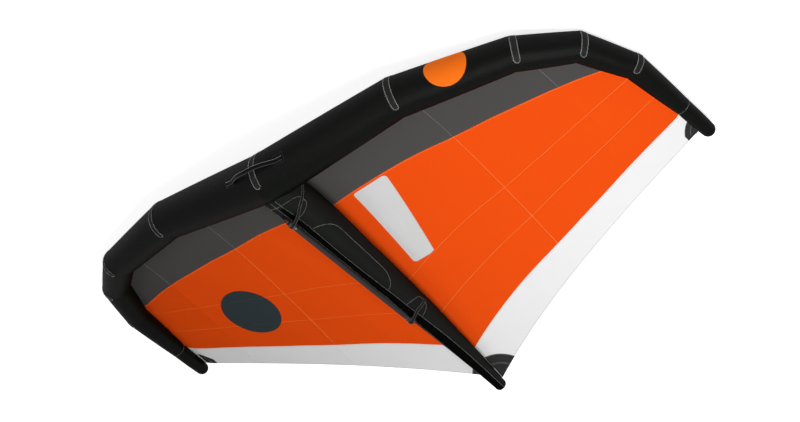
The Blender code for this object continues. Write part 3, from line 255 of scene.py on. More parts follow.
def cloth(n, colour, rough, weave=0.0011, grid=0.0, grid_tone=1.15, coat=0.0, blotch=0.10):
    """Woven cloth: threads, a ripstop grid, soft unevenness of colour, creases, and gathers at the seams."""
    where, body = n.place("UV"), n.place("Object")
    big, mid, fine = n.noise(body, 2.3, 4.0), n.noise(body, 21.0, 4.0, 0.6), n.noise(body, 240.0, 2.0)
    weaving = threads(n, where, weave)
    shade = n.total(0.42 - 1.5 * blotch, (big, 2 * blotch), (mid, blotch), (weaving, 0.16))
    base = n.tones(shade, colour, 0.84, 1.16)
    relief = [(weaving, weave * 0.22)]
    if grid:
        lines = ripstop(n, where, grid, grid * 0.11)
        base = n.mix(n.maths("MULTIPLY", lines, 0.8), base, tone(colour, grid_tone))
        relief.append((lines, weave * 0.22))
    gathers = n.maths("MULTIPLY", n.add("Attribute", attribute_name="pucker").outputs["Fac"],
                      n.noise(body, 55.0, 2.0))
    height = n.total(0.0, *relief, (mid, 0.0010), (n.noise(body, 7.0, 3.0), 0.0025), (gathers, 0.0035))
    n.wire({"Base Color": base, "Roughness": n.total(rough - 0.12, (mid, 0.14), (fine, 0.10)), SPECULAR: 0.0,
            COAT: coat, COAT_ROUGH: rough}, height, 0.85, ("Normal", "Coat Normal"))


def webbing(n, colour, pitch=0.0016):
    """Flat webbing: slanting ribs from edge to edge."""
    where = n.place("UV")
    mid = n.noise(n.place("Object"), 30.0, 4.0)
    chevron = n.maths("PINGPONG", n.axis(where, "X"), pitch * 2.2)
    turn = n.maths("MULTIPLY", n.maths("ADD", n.axis(where, "Y"), chevron), math.tau / pitch)
    ribs = n.total(0.5, (n.maths("SINE", turn), 0.5))
    n.wire({"Base Color": n.tones(n.total(0.0, (mid, 0.45), (ribs, 0.55)), colour, 0.6, 1.5),
            "Roughness": n.ramp(mid, 0.3, 0.7, 0.42, 0.66), SPECULAR: 0.0, COAT: 0.15, COAT_ROUGH: 0.4},
           n.total(0.0, (ribs, 0.00035), (mid, 0.0008)))


def film(n, colour, alpha, rough=0.12):
    """Clear film, a little milky, with faint waves and scuffs."""
    body = n.place("Object")
    wave = n.noise(body, 5.0, 2.0)
    long_way = n.add("Mapping", {0: body, 3: (260.0, 18.0, 18.0)}).outputs[0]
    scuff = n.ramp(n.noise(long_way, 1.0, 5.0), 0.60, 0.74)
    n.wire({"Base Color": n.tones(n.total(0.0, (wave, 0.4), (scuff, 0.35)), colour, 0.97, 1.05),
            "Alpha": n.total(alpha, (scuff, 0.06)), "Roughness": n.total(rough, (scuff, 0.25)), SPECULAR: 0.4},
           n.maths("MULTIPLY", wave, 0.006))


def moulded(n, colour, rough, grain=1400.0, specular=0.4):
    """Moulded plastic: fine grain, faint flow marks, and edges rubbed a little lighter."""
    body = n.place("Object")
    fine, mid = n.noise(body, grain, 2.0), n.noise(body, 60.0, 4.0)
    worn = n.ramp(n.add("NewGeometry").outputs["Pointiness"], 0.53, 0.62)
    worn = n.maths("MULTIPLY", worn, n.ramp(mid, 0.35, 0.6))
    base = n.mix(n.maths("MULTIPLY", worn, 0.6), n.tones(mid, colour, 0.85, 1.15),
                 tone([c + 0.03 for c in colour], 1.8))
    n.wire({"Base Color": base, "Roughness": n.total(rough - 0.08, (mid, 0.16)), SPECULAR: specular},
           n.total(0.0, (fine, 0.00006), (mid, 0.0002)))


def laminate(n, colour, tow=0.002):
    """Woven carbon laminate under a satin coat."""
    where = n.place("UV")
    x, y = (n.maths("FLOOR", n.maths("DIVIDE", n.axis(where, name), tow)) for name in "XY")
    over = n.maths("PINGPONG", n.maths("ADD", x, y), 1.0)
    shade = n.total(0.0, (n.noise(n.place("Object"), 45.0, 3.0), 0.4), (over, 0.6))
    n.wire({"Base Color": n.tones(shade, colour, 0.6, 1.5), "Roughness": n.total(0.26, (over, 0.10)),
            COAT: 0.4, COAT_ROUGH: 0.12})


def foam(n, colour):
    """Grip foam with fine pores."""
    body = n.place("Object")
    pores = n.add("TexVoronoi", {"Vector": body, "Scale": 700.0}).outputs["Distance"]
    mid = n.noise(body, 35.0, 4.0)
    n.wire({"Base Color": n.tones(n.total(0.0, (mid, 0.5), (pores, 0.5)), colour, 0.65, 1.35),
            "Roughness": n.ramp(mid, 0.3, 0.7, 0.62, 0.82), SPECULAR: 0.25},
           n.total(0.0, (pores, 0.0003), (mid, 0.0004)))


MATERIALS = {}


def finish(name, make, *values, **settings):
    """A named material by one of the makers above."""
    MATERIALS[name] = bpy.data.materials.new(name)
    make(Nodes(MATERIALS[name]), *values, **settings)


BLACK = (0.0029, 0.0035, 0.0028)
BLACKEST = (0.0022, 0.0022, 0.0022)
finish("black_sailcloth", cloth, BLACK, 0.25, grid=0.009, grid_tone=1.9, coat=0.10, blotch=0.35)
finish("strut_sailcloth", cloth, (0.0088, 0.0098, 0.0088), 0.32, grid=0.009, grid_tone=1.7, coat=0.06,
       blotch=0.3)
finish("kink_patch_cloth", cloth, (0.013, 0.013, 0.0125), 0.36, coat=0.12)
finish("black_strip", cloth, BLACKEST, 0.45, coat=0.01, blotch=0.2)
finish("grey_ripstop", cloth, (0.075, 0.0715, 0.0695), 0.55, grid=0.006, grid_tone=1.35)
finish("orange_ripstop", cloth, (0.93, 0.084, 0.0065), 0.55, grid=0.006, grid_tone=1.06, blotch=0.05)
finish("white_ripstop", cloth, (0.95, 0.95, 0.95), 0.55, grid=0.006, grid_tone=0.95, blotch=0.03)
finish("dark_patch_cloth", cloth, (0.034, 0.034, 0.034), 0.6, coat=0.05)
finish("slate_cloth", cloth, (0.036, 0.049, 0.054), 0.6, grid=0.006, grid_tone=1.3)
finish("orange_patch", cloth, (1.0, 0.17, 0.008), 0.5, coat=0.1, blotch=0.04)
finish("window_film", film, (0.75, 0.75, 0.75), 0.82)
finish("bladder_film", film, (0.55, 0.58, 0.60), 0.65, 0.25)
finish("hose_plastic", film, (0.30, 0.32, 0.34), 0.85, 0.2)
finish("handle_cover", cloth, BLACKEST, 0.16, weave=0.0009, coat=0.12)
# Light grey piping: a painted highlight along the handle's upper edge
finish("handle_piping_and_painted_highlight", moulded, (0.13, 0.13, 0.128), 0.30, 2500.0, 0.5)
finish("black_webbing", webbing, (0.0075, 0.0075, 0.0075))
finish("boom_carbon", laminate, (0.020, 0.020, 0.021))
finish("boom_grip_foam", foam, (0.017, 0.017, 0.017))
finish("moulded_black", moulded, (0.014, 0.014, 0.014), 0.42)
finish("moulded_grey", moulded, (0.17, 0.17, 0.18), 0.42)
for tint, colour in (("grey", (0.36, 0.36, 0.355)), ("light", (0.66, 0.66, 0.65)), ("pale", (1.0, 0.62, 0.20)),
                     ("dark", (0.07, 0.07, 0.07)), ("orange", (0.80, 0.12, 0.02))):
    finish(f"{tint}_thread", moulded, colour, 0.7, 2500.0, 0.15)
SAME_SLOT = {"strut_sailcloth": "black_sailcloth", "kink_patch_cloth": "black_sailcloth",
             "handle_cover": "black_webbing", "handle_piping_and_painted_highlight": "moulded_grey"}


# Meshes

EDGE_WIDTH = 0.0004
EDGE_ANGLE = 35


def add_mesh(name, points, faces, finish, uv=None, body=BODY, smooth=True, sharp=None, pucker=None):
    """A piece from points in the wing's axes. A smooth one is closed, and its faces all look outwards."""
    mesh = bpy.data.meshes.new(name)
    mesh.from_pydata(laid(points).tolist(), [], [list(map(int, face)) for face in faces])
    mesh.materials.append(MATERIALS[finish])
    if smooth:
        mesh.shade_smooth()
    if sharp:
        mesh.set_sharp_from_angle(angle=math.radians(sharp))
    if uv is not None:
        layer = mesh.uv_layers.new(name="cloth")
        loops = np.empty(len(mesh.loops), int)
        mesh.loops.foreach_get("vertex_index", loops)
        layer.data.foreach_set("uv", np.asarray(uv, float)[loops].ravel())
    if pucker is not None:
        mesh.attributes.new("pucker", "FLOAT", "POINT").data.foreach_set("value", pucker.ravel())
    item = new_object(name, mesh)
    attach(item, body)
    finish = SAME_SLOT.get(finish, finish)
    if smooth:
        outward(mesh)
    return item


def outward(mesh):
    """Turns the faces of a closed mesh outwards."""
    points = np.empty(len(mesh.vertices) * 3)
    mesh.vertices.foreach_get("co", points)
    points = points.reshape(-1, 3) - points.reshape(-1, 3).mean(0)
    mesh.calc_loop_triangles()
    corners = np.empty(len(mesh.loop_triangles) * 3, int)
    mesh.loop_triangles.foreach_get("vertices", corners)
    a, b, c = (points[corners.reshape(-1, 3)[:, i]] for i in range(3))
    if (a * np.cross(b, c)).sum() < 0:
        mesh.flip_normals()


def grid_faces(rows, columns, closed=False, start=0):
    """Quads of a grid of rows x columns points. closed joins the last column to the first."""
    r, c = np.meshgrid(np.arange(rows - 1), np.arange(columns if closed else columns - 1), indexing="ij")
    a = r * columns + c
    b = r * columns + (c + 1) % columns
    return np.stack((a, b, b + columns, a + columns), -1).reshape(-1, 4) + start


def metres(grid):
    """Lengths along both ways of a grid of points, for its cloth's UV."""
    lengths = [np.linalg.norm(np.diff(grid, axis=axis), axis=2).mean(1 - axis) for axis in (1, 0)]
    return np.stack(np.meshgrid(*(np.concatenate(([0.0], np.cumsum(length))) for length in lengths)), -1)


def layered(name, low, high, faces, loops, finish, uv, **more):
    """A thin piece: two layers of points with the same faces, joined along loops of points."""
    count = len(low)
    every = [face[::-1] for face in faces] + [face + count for face in faces]
    for loop in loops:
        ahead = np.roll(loop, -1)
        every += list(np.stack((loop, ahead, ahead + count, loop + count), -1))
    return add_mesh(name, np.concatenate((low, high)), every, finish, np.concatenate((uv, uv)),
                    **{"sharp": 50} | more)


def slab(name, low, high, finish, **more):
    """A thin piece between two grids of points."""
    rows, columns = low.shape[:2]
    index = np.arange(rows * columns).reshape(rows, columns)
    loop = np.concatenate((index[0], index[1:, -1], index[-1, -2::-1], index[-2:0:-1, 0]))
    return layered(name, low.reshape(-1, 3), high.reshape(-1, 3), grid_faces(rows, columns), [loop], finish,
                   metres(high).reshape(-1, 2), **more)


def ring(name, low, high, finish):
    """A thin ring between two polar grids whose last column is the first."""
    rows, columns = low.shape[0], low.shape[1] - 1
    inner = np.arange(columns)
    low, high, uv = (grid[:, :-1].reshape(grid.shape[0] * columns, -1) for grid in (low, high, metres(high)))
    return layered(name, high, low, grid_faces(rows, columns, closed=True),
                   [inner, inner[::-1] + (rows - 1) * columns], finish, uv)


def disc(name, low, high, finish, uv):
    """A thin round between two polar grids whose first row is the middle and whose last column is the first."""
    rows, columns = low.shape[0], low.shape[1] - 1
    low, high, uv = (np.concatenate((grid[0, :1], grid[1:, :-1].reshape(-1, grid.shape[2])))
                     for grid in (low, high, uv))
    inner = 1 + np.arange(columns)
    fan = np.stack((np.roll(inner, -1), inner, np.zeros(columns, int)), -1)
    faces = list(fan) + list(grid_faces(rows - 1, columns, closed=True, start=1))
    return layered(name, high, low, faces, [inner[::-1] + (rows - 2) * columns], finish, uv)


def lay(name, surface, a, b, low, high, finish, shape=slab, **more):
    """A thin piece on a surface of (a, b, height) between two heights."""
    return shape(name, surface(a, b, low), surface(a, b, high), finish, **more)


def rings(name, grid, finish, uv, joined=False, **more):
    """A piece from rings of points with flat ends, or with its last ring joined to its first."""
    rows, columns = grid.shape[:2]
    first = np.arange(columns)
    last = first + (rows - 1) * columns
    ends = [first[::-1], last]
    if joined:
        ends = list(np.stack((last, np.roll(last, -1), np.roll(first, -1), first), -1))
    faces = list(grid_faces(rows, columns, closed=True)) + ends
    return add_mesh(name, grid.reshape(-1, 3), faces, finish, uv.reshape(-1, 2), **more)


def pipe(name, path, radius, finish, sides):
    """A tube with flat ends round a path."""
    way = unit(np.gradient(path, axis=0))
    up = unit(np.cross(way[0], (1.0, 0.0, 0.0)))
    turn = circle(sides)
    made = []
    for p, t in zip(path, way):
        up = unit(up - t * (up @ t))
        made.append(p + radius * (np.cos(turn)[:, None] * up + np.sin(turn)[:, None] * np.cross(t, up)))
    return rings(name, np.array(made), finish, pairs(turn * radius, run_along(path)[:, None]), sharp=50)


def lathe(name, profile, origin, way, finish, sides=64, replaces=()):
    """A body turned about an axis. The profile lists (radius, height) and closes where it meets the axis."""
    profile = np.asarray(profile, float)
    helper = (1.0, 0.0, 0.0) if abs(way[0]) < 0.9 else (0.0, 1.0, 0.0)
    x = unit(np.cross(helper, way))
    turn = circle(sides)
    around = np.cos(turn)[:, None] * x + np.sin(turn)[:, None] * np.cross(way, x)
    grid = origin + profile[:, 0, None, None] * around + profile[:, 1, None, None] * way
    uv = pairs(turn * profile[:, 0].max(), run_along(profile)[:, None])
    item = rings(name, grid, finish, uv, joined=min(profile[0, 0], profile[-1, 0]) >= 1e-4, sharp=EDGE_ANGLE)
    if replaces:
        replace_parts(item, *replaces)


# Stitches: each kind's thread, width, step, thickness, and the stride from one drawn thread to the next
STITCHES = {
    "grey_stitches": ("grey_thread", 0.0046, 0.0044, 0.0015, 1),
    "canopy_stitches_pale": ("pale_thread", 0.0034, 0.0050, 0.0015, 1),
    "canopy_stitches_dotted": ("pale_thread", 0.0026, 0.0068, 0.0026, 2),
    "kink_stitches": ("light_thread", 0.0060, 0.0062, 0.0018, 1),
    "sling_stitches": ("grey_thread", 0.0026, 0.0034, 0.0011, 1),
    "dark_stitches": ("dark_thread", 0.0032, 0.0040, 0.0014, 1),
    "canopy_stitches_grey": ("grey_thread", 0.0040, 0.0042, 0.0016, 1),
    "window_stitches": ("orange_thread", 0.0030, 0.0045, 0.0012, 1),
}
STITCH_HEIGHT = 0.0007
ROWS = {kind: [] for kind in STITCHES}


def add_row(kind, path, out, trim=0):
    """A stitch row along a path with its outward ways, less some points at each end."""
    side = unit(np.cross(out, unit(np.gradient(path, axis=0))))
    kept = slice(trim, len(path) - trim)
    ROWS[kind].append((path[kept], side[kept], out[kept]))


def sew(kind, surface, path, lift):
    """A stitch row on a surface: surface(a, b, height) at a path of (a, b)."""
    a, b = np.asarray(path, float).T
    on = surface(a, b, lift)
    add_row(kind, on, unit(surface(a, b, lift + 0.001) - on))


def zigzag(path, side, out, wide, step, thick, stride):
    """Threads of a zigzag stitch: each a diamond raised in its middle."""
    run = run_along(path)
    count = max(2, int(run[-1] / step))
    places = np.linspace(0.0, run[-1], count + 1)
    path, side, out = (np.stack([np.interp(places, run, column) for column in v.T], -1)
                       for v in (path, side, out))
    way = np.where(np.arange(count + 1) % 2, 1.0, -1.0)[:, None]
    up = unit(out)
    ends = path + unit(side) * way * wide / 2
    a, b = ends[:-1], ends[1:]
    turn = unit(np.cross(unit(b - a), up[:-1])) * thick / 2
    middle = (a + b) / 2
    top = middle + (up[:-1] + up[1:]) / 2 * STITCH_HEIGHT
    points = np.stack((a, middle - turn, top, middle + turn, b), 1).reshape(-1, 3)
    base = np.arange(0, count, stride)[:, None, None] * 5
    return points, (np.array(((0, 1, 2), (0, 2, 3), (4, 2, 1), (4, 3, 2))) + base).reshape(-1, 3)


def make_stitches():
    """One piece for each kind of stitch."""
    for kind, (thread, *sizes) in STITCHES.items():
        points, faces, start = [], [], 0
        for row in ROWS[kind]:
            p, f = zigzag(*row, *sizes)
            points.append(p)
            faces.append(f + start)
            start += len(p)
        add_mesh(kind, np.concatenate(points), np.concatenate(faces), thread, smooth=False)


# Leading edge tube


def station_frame(index):
    """A station's normal, up, aft and onward ways."""
    ahead = unit(CENTRES[min(index + 1, LAST)] - CENTRES[min(index, LAST - 1)])
    behind = unit(CENTRES[max(index, 1)] - CENTRES[max(index - 1, 0)])
    normal = unit(ahead + behind) if index else np.array((1.0, 0.0, 0.0))
    up = unit(np.array((0.0, 0.0, 1.0)) - normal * normal[2])
    return normal, up, np.cross(up, normal), ahead


FRAMES = [station_frame(i) for i in range(LAST + 1)]


def ring_point(index, angle, offset):
    """A point on the tube at a station, turned from the rider's side round the front."""
    _, up, aft, ahead = FRAMES[index]
    way = -up * np.cos(angle)[..., None] - aft * np.sin(angle)[..., None]
    stretch = 1.0 / np.sqrt(1.0 - (way @ ahead) ** 2)
    return CENTRES[index] + way * ((RADII[index] + offset) * stretch)[..., None]


def tube_relief(place, angle):
    """How far the filled cloth stands off its cone: fuller between seams, gathered at the kinks."""
    s = np.minimum(np.abs(place), LAST - 1e-9)
    part = s - s.astype(int)
    near = np.minimum(part, 1 - part) * LENGTHS[s.astype(int)]
    kink = np.round(s)
    seam = ((kink > 0) & (kink < LAST)) * 1.0
    gather = np.sin(angle * 27 + kink * 2.1) * (0.6 + 0.4 * np.sin(angle * 5 + kink * 1.7))
    inner = np.maximum(0.0, -np.sin(angle)) ** 2
    seamed = -0.0007 * np.exp(-(near / 0.006) ** 2) + 0.0004 * gather * np.exp(-near / 0.03)
    folds = inner * (-0.0008 * np.exp(-(near / 0.014) ** 2) + 0.0004 * np.exp(-((near - 0.04) / 0.02) ** 2))
    return 0.0016 * np.sin(math.pi * part) + seam * (seamed + folds)


def tube(place, angle, offset):
    """The leading edge's cloth: place is a station number, negative on the half to the rider's right."""
    place, angle, offset = np.broadcast_arrays(*(np.asarray(v, float) for v in (place, angle, offset)))
    s = np.minimum(np.abs(place), LAST - 1e-9)
    index = s.astype(int)
    part = (s - index)[..., None]
    lift = offset + tube_relief(place, angle)
    made = np.zeros(place.shape + (3,))
    for i in range(LAST):
        here = index == i
        if here.any():
            a, b, t = angle[here], lift[here], part[here]
            made[here] = ring_point(i, a, b) * (1 - t) + ring_point(i + 1, a, b) * t
    made[..., 0] *= np.where(place < 0, -1.0, 1.0)
    return made


def tube_half(side):
    """The leading edge's centre segment as a surface of (x across the span, angle, height)."""
    return lambda x, angle, height: tube(side * np.abs(x) / CENTRES[1, 0], angle, height)


def pressed(points):
    """Points under the floor go back up onto it."""
    low = np.maximum(FLOOR_GAP - laid(points)[..., 2], 0.0)
    return points + low[..., None] * LAY[2]


def segment_steps(length):
    """Shares of a segment, closer together near its kinks."""
    near = np.array((0.0, 0.003, 0.007, 0.012, 0.018, 0.026, 0.036, 0.05, 0.07))
    near = near[near < length * 0.45]
    middle = np.linspace(near[-1], length - near[-1], max(3, int((length - 2 * near[-1]) / 0.035)))[1:-1]
    return np.concatenate((near, middle, (length - near[::-1])[:-1])) / length


def make_leading_edge(around=144, cap_rows=12):
    """The whole tube with round ends."""
    angles = circle(around)
    places = fold_out(np.concatenate([i + segment_steps(LENGTHS[i]) for i in range(LAST)] + [[LAST]]))
    grid = tube(places[:, None], angles, 0.0)
    stations = np.arange(LAST + 1)
    run = np.interp(np.abs(places), stations, np.concatenate(([0.0], np.cumsum(LENGTHS)))) * np.sign(places)
    radius = np.interp(np.abs(places), stations, RADII)
    uv = pairs(angles * radius[:, None], run[:, None])
    steps = np.linspace(0, math.pi / 2, cap_rows + 1)[1:]
    shrink = np.append(np.cos(steps[:-1]), 0.004)[:, None, None]
    reach = TIP_RADIUS * np.append(np.sin(steps[:-1]), 1.0)[:, None, None]
    caps, cap_uvs = [], []
    for side, end in ((-1, 0), (1, -1)):
        centre, along = CENTRES[LAST] * (side, 1, 1), FRAMES[LAST][3] * (side, 1, 1)
        caps.append(centre + (grid[end] - centre) * shrink + along * reach)
        cap_uvs.append(uv[end] + side * pairs(0.0, (steps * TIP_RADIUS)[:, None]))
    whole = np.concatenate((caps[0][::-1], grid, caps[1]))
    near = np.abs(places - np.round(places)) * 0.5
    near = np.where(np.abs(np.round(places)) % LAST == 0, 1.0, near)
    pucker = np.pad(np.exp(-near / 0.025), cap_rows)[:, None] * np.ones(around)
    item = rings("leading_edge_cloth", pressed(whole), "black_sailcloth",
                 np.concatenate((cap_uvs[0][::-1], uv, cap_uvs[1])), pucker=pucker)
    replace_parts(item, *[f"le_{part}_{word}" for word in ("left", "right") for part in (
        "sleeve_centre", "sleeve_mid", "sleeve_outer", "sleeve_shoulder", "sleeve_tip", "tip_cap")])


KINK_HALF = 0.0195
KINK_TO = math.radians(142)
KINK_TOP = 0.0014
KINK_MARGIN = 0.0030
# Each kink patch's station, side, shift along the tube and the angle in degrees where it starts
KINKS = {"centre": (0, 1, 0.023, 16.0), "1_left": (1, 1, 0.016, 1.0), "2_left": (2, 1, 0.023, 8.0),
         "3_left": (3, 1, 0.012, 6.0), "4_left": (4, 1, -0.010, 13.0), "1_right": (1, -1, 0.004, -7.0),
         "2_right": (2, -1, 0.0, -1.0), "3_right": (3, -1, 0.0, 2.0), "4_right": (4, -1, 0.0, 9.0)}


def on_kink(kink, side, shift=0.0):
    """The tube near a kink as a surface of (distance outwards along it, angle, height)."""
    def surface(distance, angle, height):
        distance = np.asarray(distance) + shift
        reach = np.where(distance > 0, LENGTHS[min(kink, LAST - 1)], LENGTHS[max(kink - 1, 0)])
        return tube(side * (kink + distance / reach), angle, height)
    return surface


def make_kink_patches():
    """A strip with round ends over each kink, with a stitch row inside its edge."""
    u = half_turn(13, 0.999)
    turn = np.linspace(-math.pi / 2, math.pi / 2, 30)
    for word, (kink, side, shift, start) in KINKS.items():
        surface = on_kink(kink, side, shift)
        start = math.radians(start)
        reach = (KINK_TO - start) * RADII[kink]
        ends = KINK_HALF / reach
        inset = ends * (1 - np.sqrt(1 - u ** 2))
        along = inset + (1 - 2 * inset) * np.linspace(0, 1, 60)[:, None]
        across = np.broadcast_to(u * KINK_HALF, along.shape)
        top = KINK_TOP - 0.0009 * (np.abs(across) / KINK_HALF) ** 8
        lay(f"kink_patch_{word}", surface, across, start + (KINK_TO - start) * along, -0.0004, top,
            "kink_patch_cloth")
        cap = np.stack((np.sin(turn) * (KINK_HALF - KINK_MARGIN),
                        KINK_MARGIN / reach + ends * (1 - np.cos(turn))), -1)
        far = cap[::-1] * (1, -1) + (0, 1)
        outline = np.concatenate((cap, np.linspace(cap[-1], far[0], 90)[1:-1], far,
                                  np.linspace(far[-1], cap[0], 90)[1:]))
        sew("kink_stitches", surface, outline * (1, KINK_TO - start) + (0, start), KINK_TOP)


def make_tip_seams():
    """The stitch row beside each tip's last ring seam."""
    turn = np.linspace(0, math.tau, 120)
    for side, _ in HALVES:
        sew("grey_stitches", on_kink(5, side), pairs(-0.018, turn), 0.0002)


# x, angle and radius
TUBE_DISC = (1.194, math.radians(76), 0.115)


def make_tube_disc():
    """The round of orange cloth on the leading edge's left half, left bare."""
    x, middle, size = TUBE_DISC
    place = 1 + (x - CENTRES[1, 0]) / (CENTRES[2, 0] - CENTRES[1, 0])
    radius = np.interp(place, (1, 2), RADII[1:3])
    r = np.linspace(0, 1, 16)[:, None] ** 0.8
    t = np.linspace(0, math.tau, 97)
    away = r * np.cos(t) * size
    angle = middle + r * np.sin(t) * size / radius
    lay("leading_edge_disc", tube, place + away / LENGTHS[1], angle, 0.0001, 0.0005, "orange_patch", disc,
        uv=np.stack((away, angle * radius), -1))


# Canopy

SEAM_ORDER = ("front", "main", "inner", "rear")
SEAM_STATIONS = np.array((0.0, 0.238, 0.476, 0.953)) * HALF_SPAN
SEAM_TABLE = {
    "front": np.array((0.238, 0.237, 0.260, 0.351)) * CHORD,
    "main": np.array((0.571, 0.504, 0.463, 0.384)) * CHORD,
    "inner": np.array((0.713, 0.636, 0.578, 0.475)) * CHORD,
    "rear": np.array((0.868, 0.765, 0.693, 0.565)) * CHORD,
    "edge": np.array((1.0, 0.883, 0.791, 0.647)) * CHORD,
    "rise": np.array((0.155, 0.350, 0.563, 1.012)) * TIP_RISE,
}
SEAM_LINES = {key: np.polyfit(SEAM_STATIONS, table, 3) for key, table in SEAM_TABLE.items()}
# What the panels' own cut adds to each seam's smooth line: round two places, (x, how far round it) each
EASE_PLACES = ((1.53, 0.30), (0.85, 0.18))
SEAM_EASE = {"front": (-0.027, 0.010), "main": (-0.018, 0.008), "inner": (-0.007, 0.008),
             "rear": (-0.019, 0.004)}
SEAM_ANGLE = math.pi + math.radians(22.5)
ATTACH = np.array([ring_point(i, np.array(SEAM_ANGLE), 0.0012) for i in range(LAST + 1)])
TIP_X = ATTACH[4, 0]
REAR_X = ATTACH[6, 0]
LAST_X = (ATTACH[3, 0] + ATTACH[4, 0]) / 2
INNER_SEAM_X = 0.4264 * HALF_SPAN
OUTER_SEAM_X = 0.758 * HALF_SPAN
X_STEPS = np.unique(np.round(np.concatenate((
    np.linspace(0, TIP_X, 80), [LAST_X], ATTACH[:5, 0],
    [x + step for x in (INNER_SEAM_X, OUTER_SEAM_X) for step in (-0.012, 0.0, 0.012)])), 5))
ALL_X = fold_out(X_STEPS[X_STEPS <= TIP_X + 1e-9])
ROW_STEPS = np.array((0, 0.03, 0.08, 0.15, 0.24, 0.34, 0.45, 0.55, 0.66, 0.76, 0.85, 0.92, 0.97, 1.0))


def plain_canopy(x, share):
    """The canopy up to its last column: x across one half, share from the tube to the rear edge."""
    front = np.stack([np.interp(x, ATTACH[:5, 0], column) for column in ATTACH[:5].T], -1)
    rear_x = x * REAR_X / TIP_X
    rear = np.stack((rear_x, *(np.polyval(SEAM_LINES[key], rear_x) for key in ("edge", "rise"))), -1)
    bulge = share * (1 - share) * (1 + 1.5 * (1 - share) ** 2)
    point = front + (rear - front) * share[..., None]
    point[..., 2] += 0.11 * (rear[..., 1] - front[..., 1]) * (1 - (x / HALF_SPAN) ** 3) * bulge
    return point


def tip_canopy(share):
    """The canopy's edge along the tube's tip segments."""
    run = run_along(ATTACH[4:7])
    return np.stack([np.interp(share * run[-1], run, column) for column in ATTACH[4:7].T], -1)


def canopy_half(x, share):
    """A point of the canopy's left half."""
    x, share = np.broadcast_arrays(np.asarray(x, float), np.asarray(share, float))
    part = np.clip((x - LAST_X) / (TIP_X - LAST_X), 0, 1)[..., None]
    return plain_canopy(np.minimum(x, LAST_X), share) * (1 - part) + tip_canopy(share) * part


def ends_at(x):
    """How far aft the canopy starts and ends."""
    return canopy_half(x, 0.0)[..., 1], canopy_half(x, 1.0)[..., 1]


def seam_share(key, x):
    """The share of the chord at which a seam crosses the column at x."""
    x = np.asarray(x, float)

    def at(place):
        front, rear = ends_at(place)
        ease = sum(size * np.exp(-((place - middle) / reach) ** 2)
                   for size, (middle, reach) in zip(SEAM_EASE[key], EASE_PLACES))
        return (np.polyval(SEAM_LINES[key], place) + ease - front) / (rear - front)

    part = np.clip((x - LAST_X) / (TIP_X - LAST_X), 0, 1)
    share = at(np.minimum(x, LAST_X)) * (1 - part) + at(np.full_like(x, TIP_X)) * part
    place = SEAM_ORDER.index(key)
    return np.clip(share, 0.02 * (place + 1), 1 - 0.02 * (4 - place))


def canopy_wave(x, share):
    """Slight unevenness of the taut cloth, none at its edges."""
    fade = np.clip(share * 8, 0, 1) * np.clip((1 - share) * 8, 0, 1) * np.clip((TIP_X - x) * 5, 0, 1)
    wave = np.sin(x * 9.1 + share * 4.0) * np.sin(share * 17.0 + x * 2.2 + 0.7)
    small = np.sin(x * 23.0 - share * 9.0 + 1.3) * np.sin(share * 31.0 + x * 11.0)
    return fade * (0.0016 * wave + 0.0006 * small)


def canopy(x, share, height=0.0):
    """A point of the canopy on both halves: height is towards its outer side."""
    x, share, height = np.broadcast_arrays(*(np.asarray(v, float) for v in (x, share, height)))
    half = np.abs(x)
    step = 0.002
    dx = canopy_half(np.minimum(half + step, TIP_X), share) - canopy_half(np.maximum(half - step, 0), share)
    ds = canopy_half(half, np.minimum(share + step, 1)) - canopy_half(half, np.maximum(share - step, 0))
    lift = (height + canopy_wave(half, share))[..., None]
    point = canopy_half(half, share) + unit(np.cross(ds, dx)) * lift
    point[..., 0] *= np.where(x < 0, -1.0, 1.0)
    return point


def canopy_face(out):
    """One face of the canopy as a surface of (x, share, height off that face)."""
    return lambda x, share, height: canopy(x, share, out * np.asarray(height))


def share_at(x, y):
    """The share of the chord at a place given by x and y."""
    low, high = np.zeros_like(x, float), np.ones_like(x, float)
    for _ in range(30):
        middle = (low + high) / 2
        past = canopy_half(np.abs(x), middle)[..., 1] > y
        low, high = np.where(past, low, middle), np.where(past, middle, high)
    return (low + high) / 2


def canopy_side(side):
    """One half of the canopy as a surface of (x, y, height)."""
    return lambda x, y, height: canopy(side * np.abs(x), share_at(x, y), height)


def area_of(grid):
    """The area of a grid of points."""
    a, b = grid[1:, 1:] - grid[:-1, :-1], grid[1:, :-1] - grid[:-1, 1:]
    return float(np.linalg.norm(np.cross(a, b), axis=2).sum() / 2)


# Each band's piece and cloth, the seams that part its rows of panels, where a number is a share of the
# chord, its depth laid flat, the area cut out of it, and the panels that it stands for
WINDOW_AREA = 0.1287
LAP = 0.0005
ROW_LIFT = HALF_CLOTH + 0.0006
HEM_WIDTH = 0.016
TAPE_WIDTH = 0.022
BANDS = (
    ("front", "grey", (0.0, "front"), 0.42, 0.0, ("front_inner", "front_middle", "front_tip")),
    ("body", "orange", ("front", "main", "inner", "rear"), 1.40, 2 * WINDOW_AREA,
     ("main_inner", "main_outer", "aft_inner", "aft_outer")),
    ("rear", "white", ("rear", 1.0), 0.62, 0.0, ("trailing",)),
)


